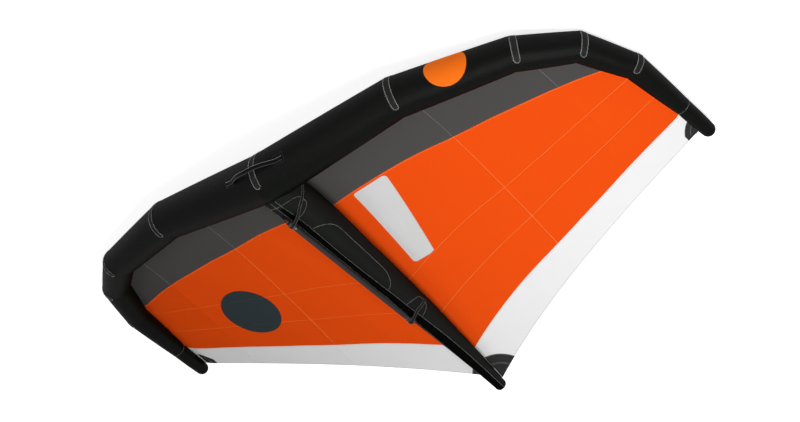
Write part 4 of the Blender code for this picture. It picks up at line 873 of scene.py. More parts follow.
def make_canopy():
    """Three bands of cloth, each one sheet over the whole span. Returns the one with the windows."""
    made = {}
    for word, tint, seams, deep, cut_out, panels in BANDS:
        lines = [seam_share(key, np.abs(ALL_X)) if key in SEAM_ORDER else np.full_like(ALL_X, key)
                 for key in seams]
        share, near = [], []
        for place, (a, b) in enumerate(zip(lines, lines[1:])):
            steps = ROW_STEPS[min(place, 1):, None]
            share.append(a + (b - a) * steps)
            near.append(np.exp(-np.minimum(steps, 1 - steps) / 0.04) * np.ones_like(ALL_X))
        share, near = np.concatenate(share), np.concatenate(near)
        for seam in (INNER_SEAM_X, OUTER_SEAM_X):
            near = np.maximum(near, np.exp(-np.abs(np.abs(ALL_X) - seam) / 0.02))
        x = np.broadcast_to(ALL_X, share.shape)
        item = lay(f"canopy_{word}_cloth", canopy, x, share, -HALF_CLOTH, HALF_CLOTH, f"{tint}_ripstop",
                   pucker=np.tile(near.ravel(), 2))
        area_of(canopy(x, share)) - cut_out
        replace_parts(item, *[f"canopy_{panel}_{half}" for panel in panels for _, half in HALVES])
        made[word] = item
    return made["body"]


WINDOW_CORNERS = np.array(((0.0745, 0.241), (0.1997, 0.241), (0.1328, 0.5337), (0.0527, 0.5337)))
WINDOW_CORNERS = WINDOW_CORNERS * (HALF_SPAN, CHORD)
WINDOW_RADIUS = 0.022


def window_outline(inset):
    """Points (x, y) round the window, moved inwards by an inset."""
    corners = WINDOW_CORNERS + np.array(((1, 1), (-1, 1), (-1, -1), (1, -1))) * inset
    arcs = []
    t = np.linspace(0, 1, 14)[:, None]
    for i, corner in enumerate(corners):
        a, b = unit(corners[i - 1] - corner), unit(corners[(i + 1) % 4] - corner)
        half = math.acos(float(a @ b)) / 2
        centre = corner + unit(a + b) * WINDOW_RADIUS / math.sin(half)
        start, end = (corner + way * WINDOW_RADIUS / math.tan(half) - centre for way in (a, b))
        arcs.append(centre + unit(start * (1 - t) + end * t) * WINDOW_RADIUS)
    return np.concatenate([part for i, arc in enumerate(arcs)
                           for part in (arc, np.linspace(arc[-1], arcs[(i + 1) % 4][0], 12)[1:-1])])


def cut_hole(body, outline):
    """Cuts a prism with an outline of (x, y) out of a piece."""
    count = len(outline)
    loop = np.arange(count)
    ahead = np.roll(loop, -1)
    points = np.column_stack((np.tile(outline, (2, 1)), np.repeat((-0.1, TIP_RISE), count)))
    faces = [loop[::-1], loop + count, *np.stack((loop, ahead, ahead + count, loop + count), -1)]
    mesh = bpy.data.meshes.new("window_cutter")
    mesh.from_pydata(laid(points).tolist(), [], [face.tolist() for face in faces])
    cutter = new_object("window_cutter", mesh)
    change = body.modifiers.new("window", "BOOLEAN")
    change.operation = "DIFFERENCE"
    change.solver = "EXACT"
    change.object = cutter
    bpy.context.view_layer.update()
    old = body.data
    body.data = bpy.data.meshes.new_from_object(body.evaluated_get(bpy.context.evaluated_depsgraph_get()))
    body.modifiers.clear()
    bpy.data.meshes.remove(old)
    bpy.data.objects.remove(cutter)


def make_windows(body):
    """Clear film with rounded corners behind a hole in the body cloth, on each half."""
    edge = window_outline(0.0)
    flat = edge.mean(0) + (edge - edge.mean(0)) * np.linspace(0, 1, 14)[:, None, None] * 1.012
    flat = np.concatenate((flat, flat[:, :1]), 1)
    seam = window_outline(-0.0055)
    for side, word in HALVES:
        surface = canopy_side(side)
        low, high = (surface(flat[..., 0], flat[..., 1], -HALF_CLOTH - gap) for gap in (0.0010, 0.0003))
        item = disc(f"window_film_{word}", low, high, "window_film", flat)
        cut_hole(body, window_outline(0.004) * (side, 1))
        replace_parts(item, f"window_{word}")
        sew("window_stitches", surface, np.concatenate((seam, seam[:1])), HALF_CLOTH + 0.0001)


def ribbon(name, surface, outer, inner, thick, finish):
    """A tape on the canopy between two lines of (a, b) with as many points, thinner at its edges."""
    t = np.linspace(0, 1, 4)[:, None, None]
    flat = outer * (1 - t) + inner * t
    low = HALF_CLOTH + 0.0001
    high = low + thick * np.array((0.35, 1, 1, 0.35))[:, None]
    lay(name, surface, flat[..., 0], flat[..., 1], low, high, finish)


def canopy_line(x, share, aft=0.0):
    """A line of (x, share), moved aft by a length."""
    front, rear = ends_at(np.abs(x))
    return pairs(x, share + aft / (rear - front))


def make_canopy_seams():
    """Lapped seams: a raised band of cloth on both of the canopy's faces, and a stitch row."""
    for key in SEAM_ORDER:
        low, high = (-0.0005, 0.0125) if key in ("front", "rear") else (-0.0065, 0.0065)
        share = seam_share(key, np.abs(ALL_X))
        outer, inner, middle = (canopy_line(ALL_X, share, aft) for aft in (low, high, (low + high) / 2))
        tint, kind = ("white", "grey") if key == "rear" else ("orange", "dotted")
        for face, out in FACES:
            ribbon(f"seam_{key}_{face}", canopy_face(out), outer, inner, LAP, f"{tint}_ripstop")
        sew(f"canopy_stitches_{kind}", canopy, middle[2:-2], ROW_LIFT)
    for side, word in HALVES:
        for place, x, tint, first, last in (("inner", INNER_SEAM_X, "grey", None, "front"),
                                            ("inner", INNER_SEAM_X, "orange", "front", "rear"),
                                            ("outer", OUTER_SEAM_X, "grey", None, "front")):
            start = float(seam_share(first, x)) if first else 0.01
            share = np.linspace(start, float(seam_share(last, x)), 60)
            outer, inner, middle = (pairs(side * (x + away), share) for away in (0.006, -0.006, 0.0))
            for face, out in FACES:
                ribbon(f"seam_{place}_{tint}_{word}_{face}", canopy_face(out), outer, inner, LAP,
                       f"{tint}_ripstop")
            kind = "grey" if tint == "grey" else "pale"
            sew(f"canopy_stitches_{kind}", canopy, middle, ROW_LIFT)


def make_hem():
    """The folded rear edge, and the black tape that sews the front edge to the tube."""
    x = ALL_X[1:-1]
    for face, out in FACES:
        surface = canopy_face(out)
        ribbon(f"rear_hem_{face}", surface, canopy_line(x, 1.0, -HEM_WIDTH), pairs(x, 0.9995), 0.0007,
               "white_ripstop")
        ribbon(f"front_tape_{face}", surface, pairs(x, 0.001), canopy_line(x, 0.0, TAPE_WIDTH), 0.0006,
               "black_sailcloth")
    for end, aft, lift in ((1.0, -0.009, 0.0009), (0.0, 0.017, 0.0008)):
        sew("canopy_stitches_grey", canopy, canopy_line(x, end, aft), HALF_CLOTH + lift)


# x, y and radius
CANOPY_DISC = (1.174, 1.044, 0.197)


def make_canopy_disc():
    """The round of slate cloth on the canopy's right half, left bare."""
    x, y, size = CANOPY_DISC
    r = np.linspace(0, 1, 18)[:, None]
    t = np.linspace(0, math.tau, 97)
    flat = np.stack((x + r * np.cos(t) * size, y + r * np.sin(t) * size), -1)
    lay("canopy_disc", canopy_side(-1), flat[..., 0], flat[..., 1], HALF_CLOTH + 0.0007, HALF_CLOTH + 0.0010,
        "slate_cloth", disc, uv=flat)


TAIL_REACH = 0.183
TAIL_START = 0.003


def make_corner_patches():
    """Dark patches at the rear edge: a half round on each side of the strut, and one at each tip."""
    v = np.linspace(0, 1, 16)[:, None]
    u = np.linspace(0, 1, 24)
    tail_x = TAIL_REACH * 0.86 * u + TAIL_START * (1 - u)
    rear = ends_at(tail_x)[1]
    corner = float(ends_at(TAIL_START)[1])
    start = np.minimum(corner - np.sqrt(TAIL_REACH ** 2 - tail_x ** 2), rear - 0.006)
    y = start + (rear - 0.003 - start) * v
    turn = np.linspace(math.asin(0.02), math.asin(0.84), 40)
    u = np.linspace(0, 1, 14)
    tip_x = TIP_X * (0.941 + 0.043 * u)
    share = seam_share("rear", tip_x)
    first = share + (1 - share) * (0.40 + 0.34 * (1 - u) ** 2)
    tip_share = first + (0.992 - first) * v
    row_x = TIP_X * (0.955 + 0.028 * u)
    share = seam_share("rear", row_x)
    row = share + (1 - share) * (0.60 + 0.30 * (1 - u) ** 2)
    for side, word in HALVES:
        surface = canopy_side(side)
        item = lay(f"tail_patch_{word}", surface, np.broadcast_to(tail_x, y.shape), y, HALF_CLOTH + 0.0008,
                   HALF_CLOTH + 0.0022, "dark_patch_cloth")
        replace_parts(item, f"canopy_tail_patch_{word}")
        for part in (0.975, 0.64, 0.605):
            px, py = TAIL_REACH * part * np.sin(turn), corner - TAIL_REACH * part * np.cos(turn)
            keep = py < ends_at(px)[1] - 0.008
            sew("grey_stitches", surface, np.stack((px, py), -1)[keep], HALF_CLOTH + 0.0022)
        item = lay(f"tip_patch_{word}", canopy, np.broadcast_to(side * tip_x, tip_share.shape), tip_share,
                   HALF_CLOTH + 0.0012, HALF_CLOTH + 0.0026, "dark_patch_cloth")
        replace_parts(item, f"canopy_tip_patch_{word}")
        sew("grey_stitches", canopy, pairs(side * row_x, row), HALF_CLOTH + 0.0026)


# Strut: y, radius and axis height along it
STRUT_TABLE = np.array((
    (0.0, 0.92, -0.04),
    (0.045, 0.975, 0.0),
    (0.09, 0.99, 0.12),
    (0.145, 0.99, 0.25),
    (0.24, 0.94, 0.29),
    (0.36, 0.84, 0.29),
    (0.50, 0.74, 0.28),
    (0.67, 0.64, 0.27),
    (0.82, 0.48, 0.20),
    (0.95, 0.335, 0.085),
    (1.0, 0.30, 0.05),
)) * (STRUT_LENGTH, 0.121, 0.121)
TAIL = 0.044
# The bottom strip: y, and the angle in degrees of its edge on the left and on the right
STRIP_TABLE = np.array((
    (0.10, 10.0, 9.0),
    (0.35, 11.5, 15.0),
    (0.715, 8.5, 17.0),
    (1.28, 23.5, 22.0),
    (1.55, 36.0, 27.0),
    (1.83, 45.5, 35.0),
    (2.08, 51.0, 42.0),
))
# Each patch's start, length, half angle, and the share of its length that its round ends take
PATCHES = {
    "front": (0.132, 0.146, math.radians(62), 0.75),
    "middle": (0.381, 0.659, math.radians(66), 0.42),
    "rear": (1.182, 0.146, math.radians(84), 0.75),
}
PATCH_UNDER = 0.0004
PATCH_THICK = 0.0013
PATCH_MARGIN = 0.0045
WEB_Y = (0.27, 2.02)
WEB_HALF = 0.0006


def eased(table, column, y, reach, count):
    """A table's column at y, its corners rounded off over a reach."""
    steps = np.linspace(-reach, reach, count)
    return sum(np.interp(np.asarray(y) + away, table[:, 0], table[:, column]) for away in steps) / count


def strut_at(y):
    """Radius and axis height of the strut."""
    radius, axis = (eased(STRUT_TABLE, column, y, 0.05, 9) for column in (1, 2))
    past = np.clip((y - STRUT_LENGTH) / TAIL, 0, 0.9999)
    return radius * (1 - past ** 4) ** 0.25, axis


def strut(y, angle, height=0.0):
    """The strut's cloth: slightly full between the long seams, and gathered along them."""
    y, angle, height = np.broadcast_arrays(*(np.asarray(v, float) for v in (y, angle, height)))
    radius, axis = strut_at(y)
    near = np.abs(np.abs(np.angle(np.exp(1j * angle))) - math.radians(20))
    gather = np.sin(y * 150.0) * (0.5 + 0.5 * np.sin(y * 31.0 + 1.0))
    relief = -0.0006 * np.exp(-(near / 0.02) ** 2) + 0.0003 * gather * np.exp(-near / 0.10)
    reach = radius + height + relief
    return np.stack((reach * np.sin(angle), y, axis - reach * np.cos(angle)), -1)


def strut_front(angle):
    """Where the strut's cloth meets the leading edge's, at each angle round the strut."""
    low, high = np.zeros_like(angle), np.full_like(angle, 0.30)
    way = unit(CENTRES[1] - CENTRES[0])
    for _ in range(40):
        middle = (low + high) / 2
        p = strut(middle, angle)
        p[..., 0] = np.abs(p[..., 0])
        run = p @ way
        away = np.linalg.norm(p - run[..., None] * way, axis=-1)
        past = away > LE_RADIUS + (RADII[1] - LE_RADIUS) * np.clip(run / LENGTHS[0], 0, 1) + 0.002
        low, high = np.where(past, low, middle), np.where(past, middle, high)
    return (low + high) / 2


def make_strut(rows=130, count=112):
    """The strut's tube with its rounded tail end, and a collar where it meets the leading edge."""
    turn = circle(count)
    start = strut_front(turn)
    y = start + (STRUT_LENGTH - start) * np.linspace(0, 1, rows)[:, None]
    tail = STRUT_LENGTH + TAIL * np.sin(np.linspace(0, math.pi / 2, 13)[1:]) ** 0.5
    y = np.concatenate((y, np.broadcast_to(tail[:, None], (len(tail), count))))
    uv = np.stack((turn * strut_at(np.minimum(y, STRUT_LENGTH))[0], y), -1)
    item = rings("strut_cloth", strut(y, turn), "strut_sailcloth", uv, sharp=60)
    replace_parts(item, "strut_sleeve", "strut_tail_cap")
    turn = np.linspace(0, math.tau, 200)[:-1]
    y = strut_front(turn) + np.array((0.0, 0.006, 0.013, 0.018))[:, None]
    lay("strut_collar", strut, y, turn, 0.0002, np.array((0.0010, 0.0016, 0.0016, 0.0007))[:, None],
        "strut_sailcloth")


def strip_edge(y, side):
    """The angle of the strip's edge on one side."""
    return side * np.radians(eased(STRIP_TABLE, 1 if side > 0 else 2, y, 0.12, 13))


def cover(y, angle):
    """Height of the patches' top over the strut's own cloth, 0 beside them."""
    top = 0.0
    for start, length, half, ends in PATCHES.values():
        u = np.clip(angle / half, -1, 1)
        reach = length * (1 - ends * (1 - np.sqrt(1 - u ** 2)))
        past = np.abs(y - start - length / 2) - reach / 2
        step = np.clip(0.5 - past / 0.006, 0, 1) * (np.abs(angle) < half)
        top = np.maximum(top, (PATCH_UNDER + PATCH_THICK) * smooth_step(step))
    return top


def on_strip(y, angle, height):
    """The strut with its patches as a surface."""
    return strut(y, angle, cover(y, angle) + height)


def make_strip():
    """The strut's bottom strip, over the patches, with a stitch row along each edge."""
    end = STRUT_LENGTH + TAIL * 0.86
    y = np.unique(np.concatenate((np.linspace(0.160, STRUT_LENGTH, 320), np.linspace(STRUT_LENGTH, end, 16))))
    share = np.linspace(0, 1, 17)
    angle = strip_edge(y, -1)[:, None] * (1 - share) + strip_edge(y, 1)[:, None] * share
    round_off = 1 - 0.5 * np.abs(share * 2 - 1) ** 10
    item = lay("strut_strip", on_strip, np.broadcast_to(y[:, None], angle.shape), angle, 0.0003,
               0.0003 + 0.0013 * round_off, "black_strip")
    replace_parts(item, "strut_bottom_strip")
    y = np.linspace(0.08, end, 500)
    for side, _ in HALVES:
        angle = strip_edge(y, side) - side * 0.004 / strut_at(np.minimum(y, STRUT_LENGTH))[0]
        keep = y > strut_front(angle) + 0.002
        sew("grey_stitches", on_strip, np.stack((y, angle), -1)[keep], 0.0016)


def make_strut_patches():
    """Patches on the strut with rounded ends, each with a stitch row inside its edge."""
    def patch_y(u, v, inset=0.0):
        reach = (length - inset * 2) * (1 - ends * (1 - np.sqrt(1 - u ** 2)))
        return start + (length - reach) / 2 + reach * v

    for word, (start, length, half, ends) in PATCHES.items():
        u = half_turn(41, 0.9995)
        v = np.linspace(0, 1, 50 if word == "middle" else 26)[:, None]
        y = patch_y(u, v)
        edge = np.minimum(np.minimum(v, 1 - v) * length, (1 - np.abs(u)) * half * 0.1)
        thick = PATCH_THICK - 0.0006 * np.exp(-edge / 0.0015)
        item = lay(f"patch_{word}", strut, y, np.broadcast_to(u * half, y.shape), PATCH_UNDER,
                   PATCH_UNDER + thick, "strut_sailcloth")
        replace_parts(item, f"strut_patch_{word}")
        inner = half - PATCH_MARGIN / float(strut_at(start + length / 2)[0])
        u = half_turn(80, 0.9995)
        low, high = (np.stack((patch_y(u, v, PATCH_MARGIN), u * inner), -1) for v in (0.0, 1.0))
        sew("grey_stitches", strut, dense(np.concatenate((low, high[::-1], low[:1]))),
            PATCH_UNDER + PATCH_THICK)


def dense(path, step=0.004):
    """A path with points no farther apart than a step."""
    run = run_along(path)
    places = np.linspace(0, run[-1], max(8, int(run[-1] / step)))
    return np.stack([np.interp(places, run, column) for column in path.T], -1)


def make_web():
    """The cloth that joins the strut's top to the canopy's middle line."""
    y = np.linspace(*WEB_Y, 120)
    radius, axis = strut_at(y)
    low = axis + radius + 0.0002
    high = canopy(0.0 * y, share_at(0.0 * y, y))[:, 2] - HALF_CLOTH - 0.0004
    v = np.linspace(0, 1, 9)[:, None]
    z = low + (high - low) * v
    wave = 0.0012 * np.sin(y * 40.0) * np.sin(math.pi * v)
    sides = [np.stack((side * WEB_HALF + wave, np.broadcast_to(y, z.shape), z), -1) for side in (-1, 1)]
    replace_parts(slab("strut_joining_web", *sides, "black_sailcloth"), "strut_web")
    keep = (high - low) > 0.014
    for side in (-1, 1):
        for edge in (low + 0.006, high - 0.006):
            path = np.stack((np.full_like(y, side * (WEB_HALF + 0.0001)), y, edge), -1)[keep]
            add_row("grey_stitches", path, np.broadcast_to((side, 0.0, 0.0), path.shape))


# Boom and slings

BOOM_START = np.array((0.0, 0.232, -0.1558))
BOOM_END = np.array((0.0, 1.290, -0.0966))
BOOM_WAY = unit(BOOM_END - BOOM_START)
BOOM_LENGTH = float(np.linalg.norm(BOOM_END - BOOM_START))
CAP_LENGTH = 0.045
GRIP_FROM = 0.057
GRIP_PITCH = 0.012
SHAFT_FROM = 0.0063
SLING_WIDTH = 0.022
SLING_THICK = 0.002
SLING_LEAVES = math.radians(33)
SLING_WRAP = 0.0145 + 0.0012 + SLING_THICK / 2
SEWN = 26
CAP_PROFILE = (
    (0.0, 0.0395), (0.0118, 0.0395), (0.0118, 0.0), (0.0155, 0.0), (0.0163, 0.0005), (0.0165, 0.0013),
    (0.0165, 0.0087), (0.0161, 0.0097), (0.0150, 0.0101), (0.0145, 0.0107), (0.0145, 0.0353), (0.0150, 0.0359),
    (0.0161, 0.0363), (0.0165, 0.0373), (0.0165, 0.0410), (0.0160, 0.0427), (0.0146, 0.0441), (0.0128, 0.0449),
    (0.0100, 0.0450), (0.0096, 0.0444), (0.0060, 0.0444), (0.0, 0.0444))


def make_boom():
    """The boom's shaft, its grooved foam grip and its two end fittings."""
    low, high = SHAFT_FROM, BOOM_LENGTH - SHAFT_FROM
    profile = [(0.0, low), (0.0113, low), (0.0115, low + 0.0004), (0.0115, high - 0.0004), (0.0113, high),
               (0.0, high)]
    lathe("boom_shaft", profile, BOOM_START, BOOM_WAY, "boom_carbon", replaces=("boom_tube",))
    first, last = GRIP_FROM, BOOM_LENGTH - GRIP_FROM
    profile = [(0.0118, first), (0.0128, first), (0.0137, first + 0.0015)]
    for place in np.arange(first + 0.006, last - 0.006, GRIP_PITCH):
        profile += [(0.0140, place), (0.0140, place + 0.0088), (0.01345, place + 0.0096),
                    (0.01345, place + 0.0108)]
    profile += [(0.0137, last - 0.0015), (0.0128, last), (0.0118, last)]
    lathe("boom_grip_foam", profile, BOOM_START, BOOM_WAY, "boom_grip_foam", sides=48, replaces=("boom_grip",))
    for word, end, way in (("front", BOOM_START, BOOM_WAY), ("rear", BOOM_END, -BOOM_WAY)):
        lathe(f"boom_cap_{word}", CAP_PROFILE, end + way * CAP_LENGTH, -way, "moulded_black",
              replaces=(f"boom_end_{word}",))


def make_sling(word, top_y, leave_y, boom_point, top_angle):
    """A band of webbing sewn to both sides of the strut that carries the boom's end."""
    turns = np.linspace(0, 1, 60)
    angle = top_angle + (SLING_LEAVES - top_angle) * turns
    y = top_y + (leave_y - top_y) * turns ** 1.3
    on_patch = smooth_step(np.clip((PATCHES[word][2] * 1.04 - np.abs(angle)) / 0.05, 0, 1))
    height = (PATCH_UNDER + PATCH_THICK) * on_patch + 0.0001 * (1 - on_patch) + 0.0003 + SLING_THICK / 2
    line = strut(y, angle, height)
    out = strut(y, angle, height + 0.001) - line
    away = line[-1] - boom_point
    wrap = math.atan2(away[0], -away[2]) - math.acos(SLING_WRAP / math.hypot(away[0], away[2]))
    under = np.linspace(wrap, 0, 24)
    ways = np.stack((np.sin(under), np.zeros(24), -np.cos(under)), -1)
    low = boom_point + ways * SLING_WRAP
    steps = np.linspace(0, 1, 16)[1:-1, None]
    straight = line[-1] * (1 - steps) + low[0] * steps
    ease = np.clip(steps[:, 0] * 1.15, 0, 1)
    straight[:, 1] = line[-1, 1] + (boom_point[1] - line[-1, 1]) * ease * (2 - ease)
    flat = out[-1] * (1 - steps) + ways[0] * 0.001 * steps
    line = np.concatenate((line, straight, low))
    out = unit(np.concatenate((out, flat, ways)))
    line, out = (np.concatenate((v, v[-2::-1] * (-1, 1, 1))) for v in (line, out))
    across = np.linspace(-1, 1, 9)[:, None, None]
    wide = across * np.array((0.0, SLING_WIDTH / 2, 0.0))
    half = out * SLING_THICK / 2 * (1 - 0.35 * np.abs(across) ** 6)
    item = slab(f"sling_{word}", line + wide - half, line + wide + half, "black_webbing")
    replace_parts(item, f"boom_strap_{word}")
    for side in (-1, 1):
        add_row("sling_stitches", line + (0.0, side * 0.0088, 0.0) + out * SLING_THICK / 2 * 0.98, out, trim=2)
    cross = np.array((0.0, 0.0065, 0.0)) * np.linspace(-1, 1, SEWN)[:, None]
    for part in (slice(0, SEWN), slice(len(line) - SEWN, len(line))):
        for way in (1, -1):
            add_row("dark_stitches", line[part] + cross * way + out[part] * SLING_THICK / 2, out[part])


def make_slings():
    """The slings, each in the groove of an end fitting."""
    groove = CAP_LENGTH - (0.010 + 0.036) / 2
    make_sling("front", 0.166, 0.226, BOOM_START + BOOM_WAY * groove, math.radians(101))
    make_sling("rear", 1.269, 1.266, BOOM_END - BOOM_WAY * groove, math.radians(91))


# Handle

HANDLE_SHIFT = 0.018
HANDLE_HALF = 0.200
HANDLE_WIDE = 0.0105
HANDLE_ENDS = (math.radians(59.5), math.radians(53.0))
BASE_TOP = 0.0014


def make_handle(sides=28):
    """The soft front handle: an arched bar with piping along both edges, the upper one light grey as a painted
    highlight, and a stitched base patch at each end.
    """
    share = np.linspace(-1, 1, 121)
    free = np.minimum(1.0, np.abs(share) / 0.8)
    rise = smooth_step(1 - free ** 2)
    right, left = HANDLE_ENDS
    angle = right + (left - right) * (share + 1) / 2 + math.radians(5) * (0.5 - free ** 2)
    place = (share * HANDLE_HALF + HANDLE_SHIFT) / CENTRES[1, 0]
    base = tube(place, angle, 0.0)
    out = unit(tube(place, angle, 0.001) - base)
    centre = base + out * (PATCH + 0.0035 + 0.034 * rise)[:, None]
    across = unit(np.cross((1.0, 0.0, 0.0), out))
    turn = circle(sides)
    wide, thick = (np.sign(v) * np.abs(v) ** power * size for v, power, size in (
        (np.cos(turn), 0.45, HANDLE_WIDE), (np.sin(turn), 0.8, 0.0045)))
    pinch = 1 - 0.35 * np.clip((np.abs(share) - 0.8) / 0.05, 0, 1)
    drop = 0.0035 * (1 - pinch)
    lift = thick * pinch[:, None] - drop[:, None]
    grid = centre[:, None] + across[:, None] * wide[:, None] + out[:, None] * lift[..., None]
    item = rings("front_handle", grid, "handle_cover", pairs(wide, run_along(centre)[:, None]), sharp=60)
    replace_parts(item, "le_handle")
    # The upper piping's light grey is a painted highlight along the handle's top edge; the lower piping is
    # black
    for word, way, finish in (("upper", -1, "handle_piping_and_painted_highlight"), ("lower", 1, "moulded_black")):
        edge = centre + across * (way * HANDLE_WIDE) - out * (drop - 0.0015)[:, None]
        pipe(f"handle_piping_and_painted_highlight_{word}", edge, 0.0016, finish, 12)
    half = math.radians(13)
    m, n = 0.004, math.radians(1.7)
    for side, word in HALVES:
        surface = tube_half(side)
        middle = left if side > 0 else right
        near, far = 0.142 + side * HANDLE_SHIFT, 0.212 + side * HANDLE_SHIFT
        flat = np.meshgrid(np.linspace(near, far, 15), middle + np.linspace(-1, 1, 17) * half, indexing="ij")
        lay(f"handle_base_{word}", surface, *flat, -0.0003, BASE_TOP, "black_sailcloth")
        low, high = middle - half + n, middle + half - n
        box = [(near + m, low), (far - m, low), (far - m, high), (near + m, high), (near + m, low)]
        for a, b in zip(box, box[1:]):
            sew("dark_stitches", surface, np.linspace(a, b, 24), BASE_TOP)
        for way in (1, -1):
            line = np.linspace((near + 0.026, middle - 0.075 * way), (near + 0.054, middle + 0.075 * way), 20)
            sew("dark_stitches", surface, line, 0.0048)


# Valve, hose and bladders

VALVE_X = 0.330
VALVE_ANGLE = math.radians(165)
VALVE_TUBE_RADIUS = 0.132
VALVE_PATCH = (0.0362, 0.058)
VALVE_ROW = 0.054
RIBS = 24
RIB_SIZE = (0.0007, 0.0009, 0.0011)
RIB_PLACE = (0.0228, 0.0108)
FACET = math.cos(math.radians(7.5))
HOSE_ANGLE = math.radians(-105)
HOSE_X = 0.215
HOSE_Y = 0.280
HOSE_RADIUS = 0.0069
PORT_TOP = 0.018
HOSE_ARCH = 0.093
LE_BLADDER_INSET = 0.008
STRUT_BLADDER_INSET = 0.0055


def centre_frame(x, angle, side):
    """A place on the centre segment's cloth: point, outward way and the way along the tube."""
    a, b = (ring_point(i, np.array(angle), np.array(0.0)) for i in (0, 1))
    share = x / CENTRES[1, 0]
    along = unit(b - a)
    point = a * (1 - share) + b * share
    out = point - CENTRES[0] * (1 - share) - CENTRES[1] * share
    out = unit(out - along * (out @ along))
    flip = np.array((side, 1, 1))
    return point * flip, out * flip, along * flip


def make_valve():
    """The valve's sewn patch, and the grip ribs round its cap but for the tether's place."""
    point, out, along = centre_frame(VALVE_X, VALVE_ANGLE, -1)
    across = np.cross(out, along)
    turn = np.linspace(0, math.tau, 97)
    surface = tube_half(-1)

    def polar(radius):
        return VALVE_X - radius * np.cos(turn), VALVE_ANGLE - radius * np.sin(turn) / VALVE_TUBE_RADIUS

    top = 0.0001 + np.array((0.0011, 0.0012, 0.0012, 0.0012, 0.0011, 0.0004))[:, None]
    lay("valve_patch", surface, *polar(np.linspace(*VALVE_PATCH, 6)[:, None]), 0.0001, top, "black_sailcloth",
        ring)
    sew("grey_stitches", surface, np.stack(polar(VALVE_ROW), -1), 0.0012)
    points = []
    for a in math.tau * (np.arange(RIBS) + 0.5) / RIBS:
        if math.cos(a) > 0.94:
            continue
        way = along * math.cos(a) + across * math.sin(a)
        side = np.cross(out, way)
        centre = point + way * RIB_PLACE[0] + out * RIB_PLACE[1]
        long, wide, high = RIB_SIZE
        for w, taper in ((-1, 1.0), (1, 0.6)):
            for u, v in ((-1, -1), (1, -1), (1, 1), (-1, 1)):
                points.append(centre + (way * u * long + side * v * wide) * taper + out * w * high)
    box = np.array(((0, 3, 2, 1), (4, 5, 6, 7), (0, 1, 5, 4), (1, 2, 6, 5), (2, 3, 7, 6), (3, 0, 4, 7)))
    faces = (box + np.arange(0, len(points), 8)[:, None, None]).reshape(-1, 4)
    add_mesh("valve_cap_ribs", np.array(points), faces, "moulded_grey", body="valve_cap", smooth=False)


def on_facet(y):
    """A point on the flat of the strut's solid where the hose's port sits."""
    radius, axis = (np.interp(y, STRUT_TABLE[:, 0], STRUT_TABLE[:, k]) for k in (1, 2))
    return np.array((radius * FACET * math.sin(HOSE_ANGLE), y, axis - radius * FACET * math.cos(HOSE_ANGLE)))


def make_hose():
    """The transfer hose from port to port, and its two clamps."""
    point_a, out_a, _ = centre_frame(HOSE_X, math.radians(255), -1)
    point_a = point_a - out_a * LE_RADIUS * (1 - FACET)
    point_b = on_facet(HOSE_Y)
    along = unit(on_facet(HOSE_Y + 0.011) - point_b)
    out_b = np.array((math.sin(HOSE_ANGLE), 0.0, -math.cos(HOSE_ANGLE)))
    out_b = unit(out_b - along * (out_b @ along))
    a, b = (point_a + out_a * reach for reach in (PORT_TOP, HOSE_ARCH))
    c, d = (point_b + out_b * reach for reach in (HOSE_ARCH, PORT_TOP))
    s = np.linspace(0, 1, 60)[:, None]
    path = a * (1 - s) ** 3 + b * 3 * s * (1 - s) ** 2 + c * 3 * s * s * (1 - s) + d * s ** 3
    path = np.concatenate(([point_a + out_a * 0.004], path, [point_b + out_b * 0.004]))
    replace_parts(pipe("hose_tube", path, HOSE_RADIUS, "hose_plastic", 28), "transfer_hose")
    profile = [(0.0072, 0.0148), (0.0092, 0.0148), (0.0094, 0.0152), (0.0094, 0.0196), (0.0092, 0.0200),
               (0.0072, 0.0200)]
    for word, point, out in (("front", point_a, out_a), ("rear", point_b, out_b)):
        lathe(f"hose_clamp_{word}", profile, point, out, "moulded_black", sides=40)


def make_bladders():
    """The two bladders inside the sleeves."""
    turn = circle(40)
    places = fold_out(np.linspace(0, LAST, 70))[:, None]
    y = np.linspace(0.20, STRUT_LENGTH - 0.01, 60)
    outer = pressed(tube(places, turn, -LE_BLADDER_INSET))
    inner = strut(y[:, None], turn, -STRUT_BLADDER_INSET)
    nose = inner[0].mean(0) + (inner[0] - inner[0].mean(0)) * 0.3 - (0, 0.02, 0)
    inner_y = np.concatenate(([0.17], y))[:, None]
    inner = np.concatenate(([nose], inner))
    for name, grid, uv, node in (
            ("leading_edge_bladder", outer, pairs(turn * 0.1, places * 0.4), "le_bladder"),
            ("strut_inner_bladder", inner, pairs(turn * 0.08, inner_y), "strut_bladder")):
        item = rings(name, grid, "bladder_film", uv)
        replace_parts(item, node)


def dress_cad_nodes():
    """Finishes and softened edges for the moulded pieces that stay as they are."""
    for row in frame["record"]["subparts"]:
        node = frame["nodes"][row["node"]]
        if node.hide_render:
            continue
        finish = MATERIALS[row["material_slot"]]
        if not node.material_slots:
            node.data.materials.append(finish)
        for place in node.material_slots:
            place.material = finish
        soft = node.modifiers.new("edges", "BEVEL")
        soft.width = EDGE_WIDTH
        soft.segments = 2
        soft.limit_method = "ANGLE"
        soft.angle_limit = math.radians(EDGE_ANGLE)


# Stage

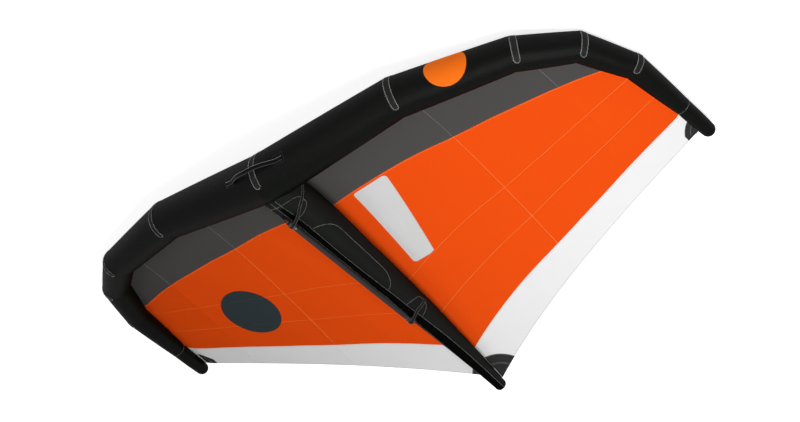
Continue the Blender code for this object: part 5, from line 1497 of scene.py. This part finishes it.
PURE_WHITE = (1.0, 1.0, 1.0, 1.0)
FLOOR_COLOUR = (0.93, 0.93, 0.93, 1.0)
FLOOR_SIZE = 40.0
FLOOR_LIFT = 0.80
WORLD_LEVEL = 0.18
LIT_PLACE = Vector((-0.3, 0.0, 0.2))
# Each lamp's name, place, power and size
LAMPS = (
    ("key", (-3.0, -1.0, 5.0), 250.0, 2.8),
    ("front", (0.6, -4.6, 4.0), 40.0, 1.6),
)


def make_stage():
    """A plain pale floor, a white surrounding and soft studio light."""
    mesh = bpy.data.meshes.new("floor")
    corners = [(x * FLOOR_SIZE, y * FLOOR_SIZE, 0) for x, y in ((-1, -1), (1, -1), (1, 1), (-1, 1))]
    mesh.from_pydata(corners, [], [(0, 1, 2, 3)])
    n = Nodes(bpy.data.materials.new("floor"))
    n.wire({"Base Color": FLOOR_COLOUR, "Roughness": 0.9, SPECULAR: 0.0, "Emission Color": PURE_WHITE,
            "Emission Strength": n.maths("MULTIPLY", n.seen(), FLOOR_LIFT)})
    mesh.materials.append(bpy.data.materials["floor"])
    new_object("floor", mesh)
    world = bpy.data.worlds.new("studio")
    bpy.context.scene.world = world
    n = Nodes(world)
    back = n.tree.nodes["Background"].inputs
    n.set(back["Strength"], n.ramp(n.seen(), 0.0, 1.0, WORLD_LEVEL, 1.0))
    n.set(back["Color"], PURE_WHITE)
    for name, place, power, wide in LAMPS:
        data = bpy.data.lights.new(name, "AREA")
        data.energy = power
        data.size = wide
        lamp = new_object(name, data)
        lamp.location = place
        lamp.rotation_mode = "QUATERNION"
        lamp.rotation_quaternion = (lamp.location - LIT_PLACE).to_track_quat("Z", "Y")


bpy.context.scene.view_settings.view_transform = "Standard"
make_leading_edge()
make_kink_patches()
make_tip_seams()
make_tube_disc()
make_windows(make_canopy())
make_canopy_seams()
make_hem()
make_canopy_disc()
make_corner_patches()
make_strut()
make_strip()
make_strut_patches()
make_web()
make_boom()
make_slings()
make_handle()
make_valve()
make_hose()
make_bladders()
make_stitches()
dress_cad_nodes()
make_stage()
